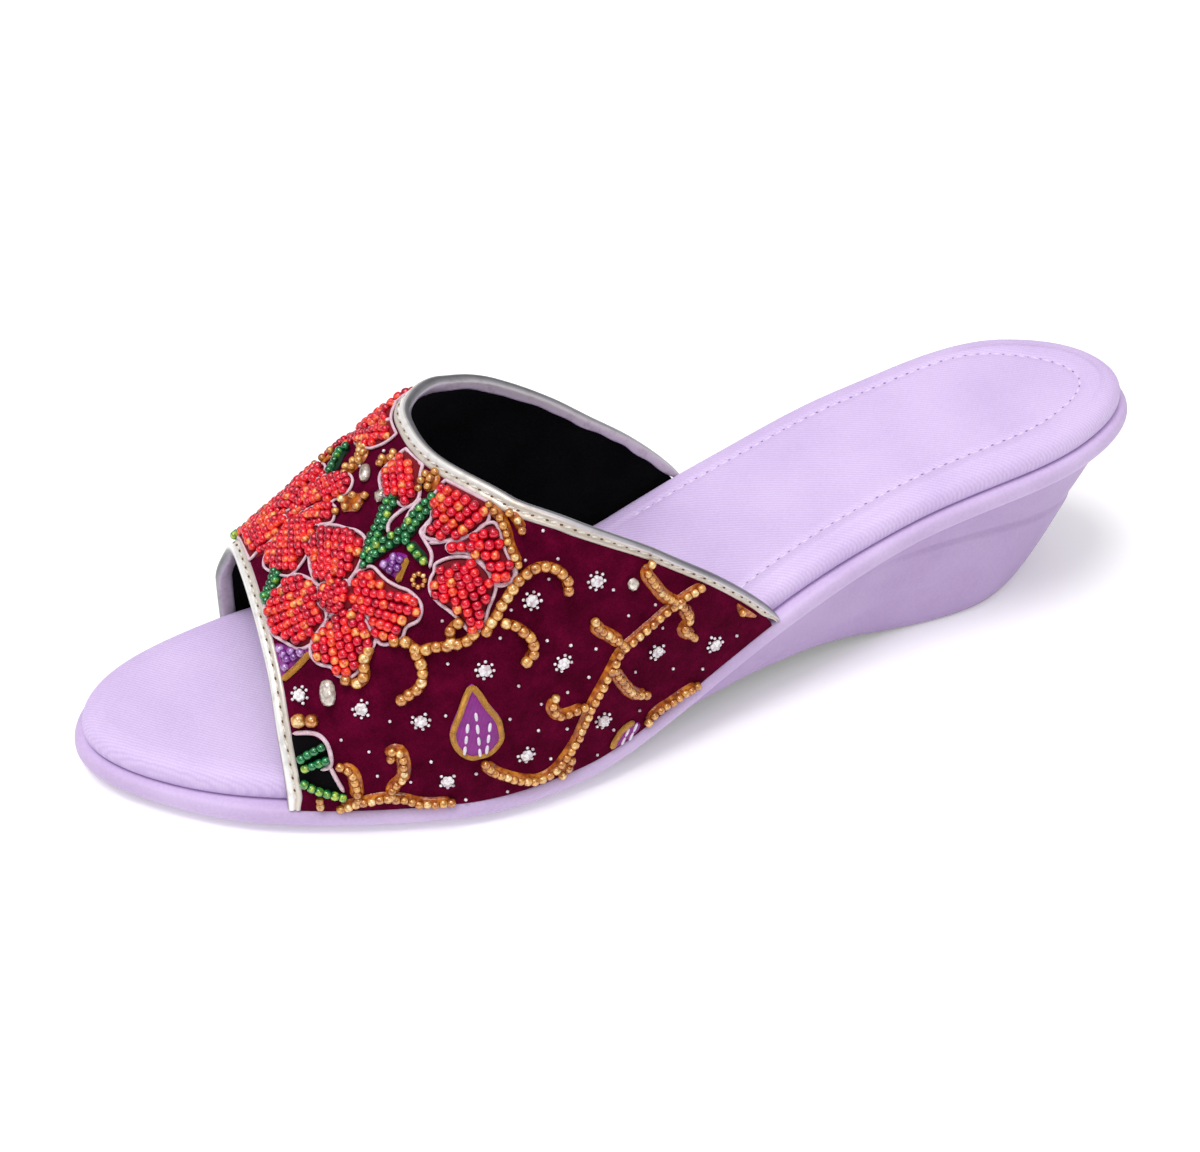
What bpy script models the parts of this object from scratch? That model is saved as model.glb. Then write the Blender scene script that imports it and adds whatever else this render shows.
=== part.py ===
"""Beaded wedge sandal, left shoe.

A slide with a padded insole in a wrapped platform rim, a raked wedge on a thin
outsole, and one broad beaded band over the forefoot, bound along both edges.

Metres, +Z up.  The toe points to -Y, +X is the outer side of the foot, and the
origin is on the floor under the middle of the shoe.
"""
import math

import bmesh
import bpy
import numpy as np
from mathutils import Vector

MM = 0.001

# ---------------------------------------------------------------- named sizes
INSOLE_LENGTH = 245.0 * MM      # toe tip to heel tip of the padded insole
BALL_WIDTH = 73.5 * MM          # insole width over the ball
HEEL_HEIGHT = 51.0 * MM         # top of the insole at the back, over the floor
INSTEP_HEIGHT = 57.0 * MM       # crest of the band over the insole, at the throat
TOE_LINE = -7.18 * MM           # line from toe tip to heel tip, inward of the shoe's middle
PAD = 5.6 * MM                  # padded insole
RIM = 4.6 * MM                  # wrapped platform rim
RIM_PROUD = 2.4 * MM            # rim beyond the insole's edge
OUTSOLE = 1.6 * MM
GAP = 0.3 * MM                  # between neighbouring pieces
WALL = 1.8 * MM                 # band: face cloth, stiffener and lining
BAND_OUT = 1.5 * MM             # band's foot beyond the insole's edge
TUCK = 1.25 * MM                # insole drawn in where the band comes down
HEEL_RAKE = 20.0 * MM           # foot of the wedge ahead of its top, at the back
WEDGE_TOP_IN = 0.6 * MM         # wedge's upper edge inside the insole's outline
WEDGE_FOOT_IN = 4.8 * MM        # wedge's foot inside the insole's outline
WEDGE_FRONT = 0.48              # where the wedge runs out, as a part of the length
BINDING_WIDE = 3.5 * MM
BINDING_THICK = 2.7 * MM

# Half widths of the insole.  turn: station, 0 deg at the toe tip and 180 deg at
# the heel tip; outer and inner: half width before it is rounded off by
# sin(turn), as parts of the width over the ball.
WIDTHS = (
    # turn, outer, inner
    (0, 0.500, 0.620),
    (20, 0.545, 0.580),
    (43, 0.631, 0.541),
    (66, 0.647, 0.434),
    (80, 0.578, 0.360),
    (92, 0.480, 0.310),
    (120, 0.362, 0.384),
    (149, 0.482, 0.570),
    (180, 0.535, 0.615),
)

# Heights along the shoe in mm.  along: part of the insole's length from the toe;
# top: insole over the floor; under: underside of the outsole over the floor.
HEIGHTS = (
    # along, top, under
    (0.00, 13.4, 1.0),
    (0.05, 12.7, 0.3),
    (0.10, 12.4, 0.0),
    (0.35, 12.4, 0.0),
    (0.40, 13.0, 0.2),
    (0.45, 15.3, 2.3),
    (0.50, 19.2, 4.6),
    (0.55, 24.9, 5.3),
    (0.60, 30.2, 5.5),
    (0.65, 34.6, 5.2),
    (0.70, 38.5, 3.5),
    (0.75, 41.9, 0.8),
    (0.79, 44.1, 0.0),
    (0.85, 46.9, 0.0),
    (0.92, 49.3, 0.0),
    (1.00, HEEL_HEIGHT / MM, 0.0),
)

# Crest of the band over the insole, as parts of the instep height.
CREST = (
    # along, rise
    (0.10, 0.23),
    (0.17, 0.455),
    (0.30, 0.940),
    (0.42, 1.275),
    (0.54, 1.225),
    (0.66, 1.05),
)
CREST_INWARD = 15.0 * MM        # crest line toward the inner side
ROUND_OUTER, ROUND_INNER, ROUND_RISE = 0.80, 0.75, 0.85   # powers of the arch

# Edges of the band.  swing: round the arch, 0 deg at the outer foot, 90 deg at
# the crest, 180 deg at the inner foot; toe and throat: where the edge lies, as
# parts of the insole's length.
EDGES = (
    # swing, toe, throat
    (0, 0.150, 0.610),
    (29, 0.151, 0.490),
    (57, 0.156, 0.370),
    (90, 0.159, 0.320),
    (123, 0.156, 0.366),
    (151, 0.146, 0.482),
    (180, 0.146, 0.601),
)

STATIONS = 34                   # round each side of the sole pieces


def through(rows, column, key=0):
    """Smooth line through one column of a table, with no overshoot."""
    xs = np.array([row[key] for row in rows], float)
    ys = np.array([row[column] for row in rows], float)
    step = np.diff(xs)
    rise = np.diff(ys) / step
    slope = np.zeros(len(xs))
    for i in range(1, len(xs) - 1):
        if rise[i - 1] * rise[i] > 0.0:
            a = 2.0 * step[i] + step[i - 1]
            b = step[i] + 2.0 * step[i - 1]
            slope[i] = (a + b) / (a / rise[i - 1] + b / rise[i])
    for end, near, far in ((0, 0, 1), (-1, -1, -2)):
        m = ((2 * step[near] + step[far]) * rise[near] - step[near] * rise[far]) / (step[near] + step[far])
        if m * rise[near] <= 0.0:
            m = 0.0
        elif rise[near] * rise[far] <= 0.0 and abs(m) > 3.0 * abs(rise[near]):
            m = 3.0 * rise[near]
        slope[end] = m

    def value(x):
        x = min(max(x, xs[0]), xs[-1])
        i = min(int(np.searchsorted(xs, x, side="right")) - 1, len(step) - 1)
        t = (x - xs[i]) / step[i]
        return float((1 + 2 * t) * (1 - t) ** 2 * ys[i] + t * (1 - t) ** 2 * step[i] * slope[i]
                     + t * t * (3 - 2 * t) * ys[i + 1] + t * t * (t - 1) * step[i] * slope[i + 1])
    return value


outer_half = through(WIDTHS, 1)
inner_half = through(WIDTHS, 2)
top_mm = through(HEIGHTS, 1)
under_mm = through(HEIGHTS, 2)
crest_rise = through(CREST, 1)
toe_edge = through(EDGES, 1)
throat_edge = through(EDGES, 2)


def ease(x, start, stop):
    t = min(max((x - start) / (stop - start), 0.0), 1.0)
    return t * t * (3.0 - 2.0 * t)


def along_of(y):
    return y / INSOLE_LENGTH + 0.5


def top(y):
    return top_mm(along_of(y)) * MM


def under(y):
    return under_mm(along_of(y)) * MM


def half_width(y, outer):
    along = min(max(along_of(y), 0.0004), 0.9996)
    turn = math.acos(1.0 - 2.0 * along)
    full = outer_half if outer else inner_half
    return full(math.degrees(turn)) * math.sin(turn) * BALL_WIDTH


def plan(turn, side, out=0.0):
    """Insole outline at a station; side +1 outer, -1 inner; out: moved outward."""
    def raw(t):
        full = outer_half if side > 0 else inner_half
        return (TOE_LINE + side * full(math.degrees(t)) * math.sin(t) * BALL_WIDTH,
                -0.5 * INSOLE_LENGTH * math.cos(t))
    x, y = raw(turn)
    if out:
        if turn < 1e-6:
            return x, y - out
        if turn > math.pi - 1e-6:
            return x, y + out
        (xa, ya), (xb, yb) = raw(turn - 1e-3), raw(turn + 1e-3)
        dx, dy = xb - xa, yb - ya
        size = math.hypot(dx, dy)
        x += side * dy / size * out
        y += -side * dx / size * out
    return x, y


def foot_plan(turn, side, out=0.0):
    """Outline at the foot of the sole: drawn in under the heel and raked forward."""
    along = 0.5 - 0.5 * math.cos(turn)
    drawn = 2.2 * MM + (WEDGE_FOOT_IN - 2.2 * MM) * ease(along, 0.40, 0.62)
    x, y = plan(turn, side, out - drawn)
    return x, y - (HEEL_RAKE - WEDGE_FOOT_IN) * ease(along, 0.62, 1.0)


# ------------------------------------------------------------------ the scene
for old in list(bpy.data.objects):
    bpy.data.objects.remove(old, do_unlink=True)
shoe = bpy.data.collections.new("beaded_wedge_sandal")
bpy.context.scene.collection.children.link(shoe)


def material(name, colour, rough, metal=0.0):
    made = bpy.data.materials.new(name)
    made.use_nodes = True
    shader = made.node_tree.nodes["Principled BSDF"]
    shader.inputs["Base Color"].default_value = (*colour, 1.0)
    shader.inputs["Roughness"].default_value = rough
    shader.inputs["Metallic"].default_value = metal
    return made


LILAC = material("lilac_covering", (0.72, 0.58, 0.88), 0.5)
LILAC_RIM = material("lilac_rim_covering", (0.68, 0.54, 0.84), 0.5)
LILAC_WEDGE = material("lilac_wedge_covering", (0.62, 0.48, 0.78), 0.55)
RUBBER = material("dark_outsole_rubber", (0.03, 0.028, 0.032), 0.8)
VELVET = material("plum_velvet", (0.085, 0.005, 0.03), 0.9)
SILVER = material("silver_binding", (0.70, 0.69, 0.66), 0.35, 0.6)
RED = material("red_beads", (0.75, 0.02, 0.05), 0.25)
GREEN = material("green_beads", (0.02, 0.16, 0.05), 0.25)
PURPLE = material("purple_satin", (0.22, 0.02, 0.28), 0.4)


def body(name, bm, paint, smooth=40.0):
    """Mesh object from a finished bmesh, faces outward."""
    bmesh.ops.recalc_face_normals(bm, faces=bm.faces)
    mesh = bpy.data.meshes.new(name)
    bm.to_mesh(mesh)
    bm.free()
    made = bpy.data.objects.new(name, mesh)
    shoe.objects.link(made)
    mesh.materials.append(paint)
    mesh.shade_smooth()
    mesh.set_sharp_from_angle(angle=math.radians(smooth))
    return made


def ring_body(name, rings, paint, closed_toe=True):
    """Loft through rings of stations, filled across at both ends.

    Each ring is a list of (outer point, inner point) pairs from front to back;
    the last pair is one shared point, and so is the first where closed_toe.
    """
    bm = bmesh.new()
    made = []
    for ring in rings:
        outer = [bm.verts.new(p) for p, q in ring]
        inner = [bm.verts.new(q) for p, q in ring]
        inner[-1].co = outer[-1].co
        bm.verts.remove(inner[-1])
        inner[-1] = outer[-1]
        if closed_toe:
            bm.verts.remove(inner[0])
            inner[0] = outer[0]
        made.append((outer, inner))
    count = len(rings[0])
    for (o1, i1), (o2, i2) in zip(made, made[1:]):
        for k in range(count - 1):
            bm.faces.new((o1[k], o1[k + 1], o2[k + 1], o2[k]))
            bm.faces.new((i1[k + 1], i1[k], i2[k], i2[k + 1]))
        if not closed_toe:
            bm.faces.new((i1[0], o1[0], o2[0], i2[0]))
    for outer, inner in (made[0], made[-1]):
        for k in range(count - 1):
            face = []
            for v in (outer[k], outer[k + 1], inner[k + 1], inner[k]):
                if v not in face:
                    face.append(v)
            bm.faces.new(face)
    return body(name, bm, paint)


def tuck(y):
    """How far the insole is drawn in beside the band."""
    along = along_of(y)
    return TUCK * ease(along, 0.115, 0.140) * (1.0 - ease(along, 0.625, 0.655))


def sole_ring(out, drop, tucked=False):
    """One ring of a piece that follows the insole's top."""
    ring = []
    for k in range(STATIONS + 1):
        turn = math.pi * k / STATIONS
        pair = []
        for side in (1, -1):
            reach = out
            if tucked:
                reach -= tuck(plan(turn, side)[1])
            x, y = plan(turn, side, reach)
            pair.append((x, y, top(y) - drop))
        ring.append(pair)
    return ring


# ---------------------------------------------------------------- sole pieces
ring_body("insole_pad", [sole_ring(out * MM, drop * MM, True) for out, drop in (
    # out, below the top
    (-1.2, PAD / MM), (-0.3, PAD / MM - 0.4), (0.0, PAD / MM - 1.3), (0.0, 3.2),
    (-0.4, 1.8), (-1.4, 0.7), (-3.0, 0.15), (-5.5, 0.0))], LILAC)

RIM_TOP = PAD + GAP
ring_body("platform_rim", [sole_ring(out * MM, RIM_TOP + drop * MM) for out, drop in (
    # out, below its top
    (-6.0, 0.0), (RIM_PROUD / MM - 0.9, 0.0), (RIM_PROUD / MM - 0.25, 0.5), (RIM_PROUD / MM, 1.6),
    (RIM_PROUD / MM - 0.1, 3.0), (RIM_PROUD / MM - 0.7, 4.1), (0.3, RIM / MM),
    (-6.0, RIM / MM))], LILAC_RIM)

WEDGE_DROP = RIM_TOP + RIM + GAP


def outsole_ring(out, rise):
    ring = []
    for k in range(STATIONS + 1):
        turn = math.pi * k / STATIONS
        pair = []
        for side in (1, -1):
            x, y = foot_plan(turn, side, out)
            pair.append((x, y, under(y) + rise))
        ring.append(pair)
    return ring


ring_body("outsole", [outsole_ring(out * MM, rise * MM) for out, rise in (
    (-0.5, 0.0), (0.0, 0.4), (0.0, 1.2), (-0.4, OUTSOLE / MM))], RUBBER)


def wedge_ring(down, draw):
    """A level of the wedge: down 0 at its top and 1 at its foot."""
    first = math.acos(1.0 - 2.0 * WEDGE_FRONT)
    count = 22
    ring = []
    for k in range(count + 1):
        turn = first + (math.pi - first) * k / count
        pair = []
        for side in (1, -1):
            xt, yt = plan(turn, side, -WEDGE_TOP_IN)
            zt = top(yt) - WEDGE_DROP
            xf, yf = foot_plan(turn, side, draw)
            zf = under(yf) + OUTSOLE + GAP
            pair.append((xt + (xf - xt) * down, yt + (yf - yt) * down, zt + (zf - zt) * down))
        ring.append(pair)
    return ring


ring_body("wedge_heel", [wedge_ring(down, draw * MM) for down, draw in (
    # down, foot moved out
    (0.0, 1.2), (0.22, 1.4), (0.45, 1.6), (0.68, 1.6), (0.85, 1.2), (0.95, 0.2), (1.0, -1.2))],
    LILAC_WEDGE, closed_toe=False)


# -------------------------------------------------------------------- the band
def band_point(y, swing, lift=0.0):
    """Outer face of the band at a place along the shoe and round the arch."""
    def raw(yy, sw):
        wide_out = half_width(yy, True) + BAND_OUT
        wide_in = half_width(yy, False) + BAND_OUT
        crest_x = 0.5 * (wide_out - wide_in) - CREST_INWARD
        foot = top(yy) - PAD
        rise = crest_rise(along_of(yy)) * INSTEP_HEIGHT + PAD
        c, s = math.cos(sw), abs(math.sin(sw))
        if c >= 0.0:
            x = crest_x + (wide_out - crest_x) * c ** ROUND_OUTER
        else:
            x = crest_x - (wide_in + crest_x) * (-c) ** ROUND_INNER
        return Vector((TOE_LINE + x, yy, foot + rise * s ** ROUND_RISE))
    here = raw(y, swing)
    if lift:
        here = here + band_normal(raw, y, swing) * lift
    return here


def band_normal(raw, y, swing):
    e, d = 0.4 * MM, 0.012
    s = min(max(swing, 0.02), math.pi - 0.02)
    if abs(s - 0.5 * math.pi) < 0.02:
        d = 0.04
    n = (raw(y, s + d) - raw(y, s - d)).cross(raw(y + e, s) - raw(y - e, s))
    n.normalize()
    return n if n.z > 0.0 or n.dot(Vector((math.cos(s), 0, 0.2))) > 0.0 else -n


def edge_y(swing, part):
    """Along the shoe at a part of the way from the toe edge to the throat edge."""
    deg = math.degrees(swing)
    a, b = toe_edge(deg), throat_edge(deg)
    return (a + (b - a) * part - 0.5) * INSOLE_LENGTH


def even(values):
    """Swing angles spread evenly along the arch's own length."""
    fine = [math.pi * k / 400 for k in range(401)]
    pts = [band_point(-0.04, s) for s in fine]
    run = np.concatenate([[0.0], np.cumsum([(b - a).length for a, b in zip(pts, pts[1:])])])
    return [float(np.interp(run[-1] * v, run, fine)) for v in values]


SWINGS = even([k / 44 for k in range(45)])


def edge_frame(swing, part):
    """At an edge: the place, the way off the edge round which the arch keeps its
    swing, the way out of the face, and how much longer that way is than square."""
    s = min(max(swing, 0.01), math.pi - 0.01)
    here = band_point(edge_y(swing, part), swing)
    back = band_point(edge_y(swing, abs(part - 0.02)), swing)
    off = (here - back).normalized()
    run = (band_point(edge_y(s + 0.01, part), s + 0.01) - band_point(edge_y(s - 0.01, part), s - 0.01)).normalized()
    lift = (band_point(edge_y(swing, part), swing, 1.0 * MM) - here).normalized()
    return here, off, lift, min(1.0 / off.cross(run).length, 2.4)


def edge_inset(swing, part, back):
    """Part of the way at which the band stops a length short of an edge."""
    lo, hi = edge_y(swing, 0.0), edge_y(swing, 1.0)
    size = (band_point(hi, swing) - band_point(lo, swing)).length
    back *= edge_frame(swing, part)[3]
    return back / size if part == 0 else 1.0 - back / size


bm = bmesh.new()
grid = []
for swing in SWINGS:
    a = edge_inset(swing, 0, BINDING_WIDE + 0.6 * MM)
    b = edge_inset(swing, 1, BINDING_WIDE + 0.6 * MM)
    grid.append([bm.verts.new(band_point(edge_y(swing, a + (b - a) * j / 9), swing)) for j in range(10)])
for r1, r2 in zip(grid, grid[1:]):
    for j in range(9):
        bm.faces.new((r1[j], r1[j + 1], r2[j + 1], r2[j]))
band = body("upper_band", bm, VELVET, 60.0)
shell = band.modifiers.new("wall", "SOLIDIFY")
shell.thickness = WALL
shell.offset = -1.0
shell.use_even_offset = True


def binding(name, part):
    """Rounded strip along an edge of the band."""
    half_t, wide = 0.5 * BINDING_THICK, BINDING_WIDE
    section = [(0.0, half_t - 0.25 * MM), (0.35 * MM, half_t), (wide - 0.9 * MM, half_t - 0.05 * MM),
               (wide - 0.25 * MM, half_t - 0.5 * MM), (wide, 0.0), (wide - 0.25 * MM, -half_t + 0.5 * MM),
               (wide - 0.9 * MM, -half_t + 0.05 * MM), (0.35 * MM, -half_t), (0.0, -half_t + 0.25 * MM)]
    bm = bmesh.new()
    rings = []
    for swing in SWINGS:
        here, off, lift, slant = edge_frame(swing, part)
        mid = here - lift * (0.5 * WALL) - off * (wide * slant)
        out = off * slant
        rings.append([bm.verts.new(mid + out * p + lift * q) for p, q in section])
    for r1, r2 in zip(rings, rings[1:]):
        for k in range(len(section)):
            m = (k + 1) % len(section)
            bm.faces.new((r1[k], r1[m], r2[m], r2[k]))
    bm.faces.new(rings[0])
    bm.faces.new(rings[-1][::-1])
    return body(name, bm, SILVER, 50.0)


binding("throat_binding", 1)
binding("toe_binding", 0)


# --------------------------------------------------------- raised beaded motifs
# Each lies on the band.  y in mm from the middle of the shoe, swing in degrees;
# waist: radius of the round middle in mm; lobes: direction in degrees (0 toward
# the heel, 90 on round the arch), reach in mm, half width in degrees, or 0 for a
# straight-sided point.
MOTIFS = (
    # name, y, swing, rise mm, waist mm, paint, lobes
    ("flower_main", -67.5, 62, 1.3, 8.5, RED,
     ((-12, 18.0, 38), (78, 14.0, 44), (170, 12.5, 44), (-98, 14.5, 46))),
    ("flower_crest", -70.0, 91, 1.3, 6.5, RED,
     ((20, 10.5, 45), (110, 8.5, 42), (190, 9.0, 40), (-75, 10.5, 45))),
    ("flower_throat", -54.5, 101, 1.2, 6.0, RED,
     ((10, 8.5, 50), (120, 7.5, 50), (-120, 8.5, 50))),
    ("flower_inner", -67.0, 136, 1.3, 7.5, RED,
     ((12, 15.0, 42), (-78, 10.0, 42), (190, 11.0, 44), (98, 12.5, 46))),
    ("bud_throat", -49.5, 78, 1.2, 5.5, RED, ((10, 6.5, 60), (-110, 7.5, 0))),
    ("fan_outer", -40.5, 56, 1.3, 7.0, RED,
     ((-20, 9.5, 50), (60, 9.5, 45), (140, 8.5, 45))),
    ("fan_inner", -42.0, 128, 1.3, 6.5, RED,
     ((20, 9.0, 50), (-60, 8.0, 45), (85, 8.5, 40))),
    ("bud_outer", -44.0, 42, 1.2, 5.4, RED, ((-95, 10.0, 0),)),
    ("drop_outer", -46.8, 15, 0.6, 5.2, PURPLE, ((88, 12.5, 0),)),
    ("drop_inner", -48.0, 165, 0.6, 5.2, PURPLE, ((-88, 12.5, 0),)),
)


def band_place(y, swing, p, q):
    """Place on the band p toward the heel and q round the arch from (y, swing),
    both measured over the face, as (y, swing)."""
    def ways(yy, sw):
        e, d = 0.5 * MM, 0.01
        along = (band_point(yy + e, sw) - band_point(yy - e, sw)) / (2 * e)
        lo, hi = max(sw - d, 0.0), min(sw + d, math.pi)
        around = (band_point(yy, hi) - band_point(yy, lo)) / (hi - lo)
        return along, around
    along, around = ways(y, swing)
    a = along.normalized()
    b = (around - a * around.dot(a)).normalized()
    want = a * p + b * q
    steps = 4
    for _ in range(steps):
        along, around = ways(y, swing)
        aa, ab, bb = along.dot(along), along.dot(around), around.dot(around)
        wa, wb = want.dot(along) / steps, want.dot(around) / steps
        det = aa * bb - ab * ab
        y += (wa * bb - wb * ab) / det
        swing += (wb * aa - wa * ab) / det
        swing = min(max(swing, 0.035), math.pi - 0.035)
        lo = edge_y(swing, edge_inset(swing, 0, BINDING_WIDE + 1.3 * MM))
        hi = edge_y(swing, edge_inset(swing, 1, BINDING_WIDE + 1.3 * MM))
        y = min(max(y, lo), hi)
    return y, swing


def reach_of(direction, lobes, waist):
    """How far a lobed outline reaches in a direction, in mm."""
    far = waist
    for centre, reach, half in lobes:
        off = abs((math.degrees(direction) - centre + 180.0) % 360.0 - 180.0)
        side = math.degrees(math.acos(waist / reach))
        if half == 0 and off < side:
            far = max(far, waist / math.cos(math.radians(side - off)))
        elif off < half:
            far = max(far, waist + (reach - waist) * math.cos(0.5 * math.pi * off / half) ** 0.6)
    return far


def raised_motif(name, y, swing, rise, waist, paint, lobes, around=40):
    """Low dome over a lobed outline, lying just clear of the band's face."""
    bm = bmesh.new()
    start, turn0 = y * MM, math.radians(swing)
    steps = (0.36, 0.72, 1.0)
    rows = []
    for part in steps:
        row = []
        for k in range(around):
            way = 2.0 * math.pi * k / around
            r = reach_of(way, lobes, waist) * part * MM
            row.append(band_place(start, turn0, r * math.cos(way), r * math.sin(way)))
        rows.append(row)
    low = [[bm.verts.new(band_point(yy, sw, GAP)) for yy, sw in row] for row in rows]
    high = [[bm.verts.new(band_point(yy, sw, GAP + (0.45 + (rise - 0.45) * (1.0 - part ** 4)) * MM))
             for yy, sw in row] for row, part in zip(rows, steps)]
    for level, sign in ((low, -1), (high, 1)):
        centre = bm.verts.new(band_point(start, turn0, GAP + (rise * MM if sign > 0 else 0.0)))
        for k in range(around):
            m = (k + 1) % around
            bm.faces.new((centre, level[0][k], level[0][m]))
            for r1, r2 in zip(level, level[1:]):
                bm.faces.new((r1[k], r2[k], r2[m], r1[m]))
    for k in range(around):
        m = (k + 1) % around
        bm.faces.new((low[-1][k], low[-1][m], high[-1][m], high[-1][k]))
    return body(name, bm, paint, 50.0)


for motif in MOTIFS:
    raised_motif(*motif)
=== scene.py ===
"""Beaded wedge sandal, left shoe: coverings, binding, stitching and beadwork.

Metres, +Z up.  The toe points to -Y, +X is the outer side of the foot, and the
origin is on the floor under the middle of the shoe.
"""
import math

import bmesh
import bpy
import numpy as np
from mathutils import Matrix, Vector


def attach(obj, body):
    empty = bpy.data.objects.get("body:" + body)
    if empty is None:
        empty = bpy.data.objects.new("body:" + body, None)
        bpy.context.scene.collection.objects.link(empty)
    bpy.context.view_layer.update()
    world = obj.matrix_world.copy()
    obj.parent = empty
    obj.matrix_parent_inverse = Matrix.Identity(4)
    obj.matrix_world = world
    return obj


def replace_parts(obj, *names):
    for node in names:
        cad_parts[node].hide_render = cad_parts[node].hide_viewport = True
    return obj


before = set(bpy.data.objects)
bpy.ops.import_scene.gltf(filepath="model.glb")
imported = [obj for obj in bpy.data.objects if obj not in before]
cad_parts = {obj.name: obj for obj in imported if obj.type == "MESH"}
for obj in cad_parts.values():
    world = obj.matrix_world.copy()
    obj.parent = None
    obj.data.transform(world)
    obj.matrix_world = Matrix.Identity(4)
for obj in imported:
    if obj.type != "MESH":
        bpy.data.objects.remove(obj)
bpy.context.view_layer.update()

MM = 0.001

# ------------------------------------------------------------ the shoe's sizes
INSOLE_LENGTH = 245.0 * MM      # toe tip to heel tip of the padded insole
BALL_WIDTH = 73.5 * MM          # insole width over the ball
HEEL_HEIGHT = 51.0 * MM         # top of the insole at the back, over the floor
INSTEP_HEIGHT = 57.0 * MM       # crest of the band over the insole, at the throat
TOE_LINE = -7.18 * MM           # line from toe tip to heel tip, inward of the shoe's middle
PAD = 5.6 * MM                  # padded insole
RIM = 4.6 * MM                  # wrapped platform rim
RIM_PROUD = 2.4 * MM            # rim beyond the insole's edge
WALL = 1.8 * MM                 # band: face cloth, stiffener and lining
BAND_OUT = 1.5 * MM             # band's foot beyond the insole's edge
TUCK = 1.25 * MM                # insole drawn in where the band comes down
HEEL_RAKE = 20.0 * MM           # foot of the wedge ahead of its top, at the back
WEDGE_TOP_IN = 0.6 * MM         # wedge's upper edge inside the insole's outline
WEDGE_FOOT_IN = 4.8 * MM        # wedge's foot inside the insole's outline
BALL_FOOT_IN = 2.2 * MM         # sole's foot inside that outline, under the ball
WEDGE_FRONT = 0.48              # where the wedge runs out, as a part of the length
BINDING_WIDE = 3.5 * MM
BINDING_THICK = 2.7 * MM
CREST_INWARD = 15.0 * MM        # crest line toward the inner side
ROUND_OUTER, ROUND_INNER, ROUND_RISE = 0.80, 0.75, 0.85   # powers of the arch

# The powers above and most numbers in the four tables below came from a separate
# fitting program and were then rounded or changed a little by hand.

# Half widths of the insole.  turn: 0 deg at the toe tip and 180 deg at the heel
# tip; outer and inner: half width before sin(turn), as parts of the ball width.
WIDTHS = (
    # turn, outer, inner
    (0, 0.500, 0.620), (20, 0.545, 0.580), (43, 0.631, 0.541), (66, 0.647, 0.434), (80, 0.578, 0.360),
    (92, 0.480, 0.310), (120, 0.362, 0.384), (149, 0.482, 0.570), (180, 0.535, 0.615),
)

# Heights in mm.  along: part of the insole's length from the toe; top: insole
# over the floor; under: underside of the outsole over the floor.
HEIGHTS = (
    # along, top, under
    (0.00, 13.4, 1.0), (0.05, 12.7, 0.3), (0.10, 12.4, 0.0), (0.35, 12.4, 0.0), (0.40, 13.0, 0.2),
    (0.45, 15.3, 2.3), (0.50, 19.2, 4.6), (0.55, 24.9, 5.3), (0.60, 30.2, 5.5), (0.65, 34.6, 5.2),
    (0.70, 38.5, 3.5), (0.75, 41.9, 0.8), (0.79, 44.1, 0.0), (0.85, 46.9, 0.0), (0.92, 49.3, 0.0),
    (1.00, HEEL_HEIGHT / MM, 0.0),
)

# Crest of the band over the insole, as parts of the instep height.
CREST = (
    # along, rise
    (0.10, 0.23), (0.17, 0.455), (0.30, 0.940), (0.42, 1.275), (0.54, 1.225), (0.66, 1.05),
)

# Edges of the band.  swing: round the arch, 0 deg at the outer foot, 180 deg at
# the inner foot; toe and throat: where the edge lies, as parts of the length.
EDGES = (
    # swing, toe, throat
    (0, 0.150, 0.610), (29, 0.151, 0.490), (57, 0.156, 0.370), (90, 0.159, 0.320),
    (123, 0.156, 0.366), (151, 0.146, 0.482), (180, 0.146, 0.601),
)


def through(rows, column):
    """Smooth line through one column of a table, with no overshoot."""
    xs = np.array([row[0] for row in rows], float)
    ys = np.array([row[column] for row in rows], float)
    step = np.diff(xs)
    rise = np.diff(ys) / step
    slope = np.zeros(len(xs))
    for i in range(1, len(xs) - 1):
        if rise[i - 1] * rise[i] > 0.0:
            a = 2.0 * step[i] + step[i - 1]
            b = step[i] + 2.0 * step[i - 1]
            slope[i] = (a + b) / (a / rise[i - 1] + b / rise[i])
    for end, near, far in ((0, 0, 1), (-1, -1, -2)):
        m = ((2 * step[near] + step[far]) * rise[near] - step[near] * rise[far]) / (step[near] + step[far])
        if m * rise[near] <= 0.0:
            m = 0.0
        elif rise[near] * rise[far] <= 0.0 and abs(m) > 3.0 * abs(rise[near]):
            m = 3.0 * rise[near]
        slope[end] = m

    def value(x):
        x = np.clip(np.asarray(x, float), xs[0], xs[-1])
        i = np.minimum(np.searchsorted(xs, x, side="right") - 1, len(step) - 1)
        t = (x - xs[i]) / step[i]
        return ((1 + 2 * t) * (1 - t) ** 2 * ys[i] + t * (1 - t) ** 2 * step[i] * slope[i]
                + t * t * (3 - 2 * t) * ys[i + 1] + t * t * (t - 1) * step[i] * slope[i + 1])
    return value


outer_half, inner_half = through(WIDTHS, 1), through(WIDTHS, 2)
top_mm, under_mm = through(HEIGHTS, 1), through(HEIGHTS, 2)
crest_rise = through(CREST, 1)
toe_edge, throat_edge = through(EDGES, 1), through(EDGES, 2)


def ease(x, start, stop):
    """Smooth step from 0 at the start to 1 at the stop."""
    t = np.clip((x - start) / (stop - start), 0.0, 1.0)
    return t * t * (3.0 - 2.0 * t)


def along_of(y):
    """Place along the insole, as a part of its length from the toe."""
    return y / INSOLE_LENGTH + 0.5


def top(y):
    """Top of the insole over the floor."""
    return top_mm(along_of(y)) * MM


def under(y):
    """Underside of the outsole over the floor."""
    return under_mm(along_of(y)) * MM


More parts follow.
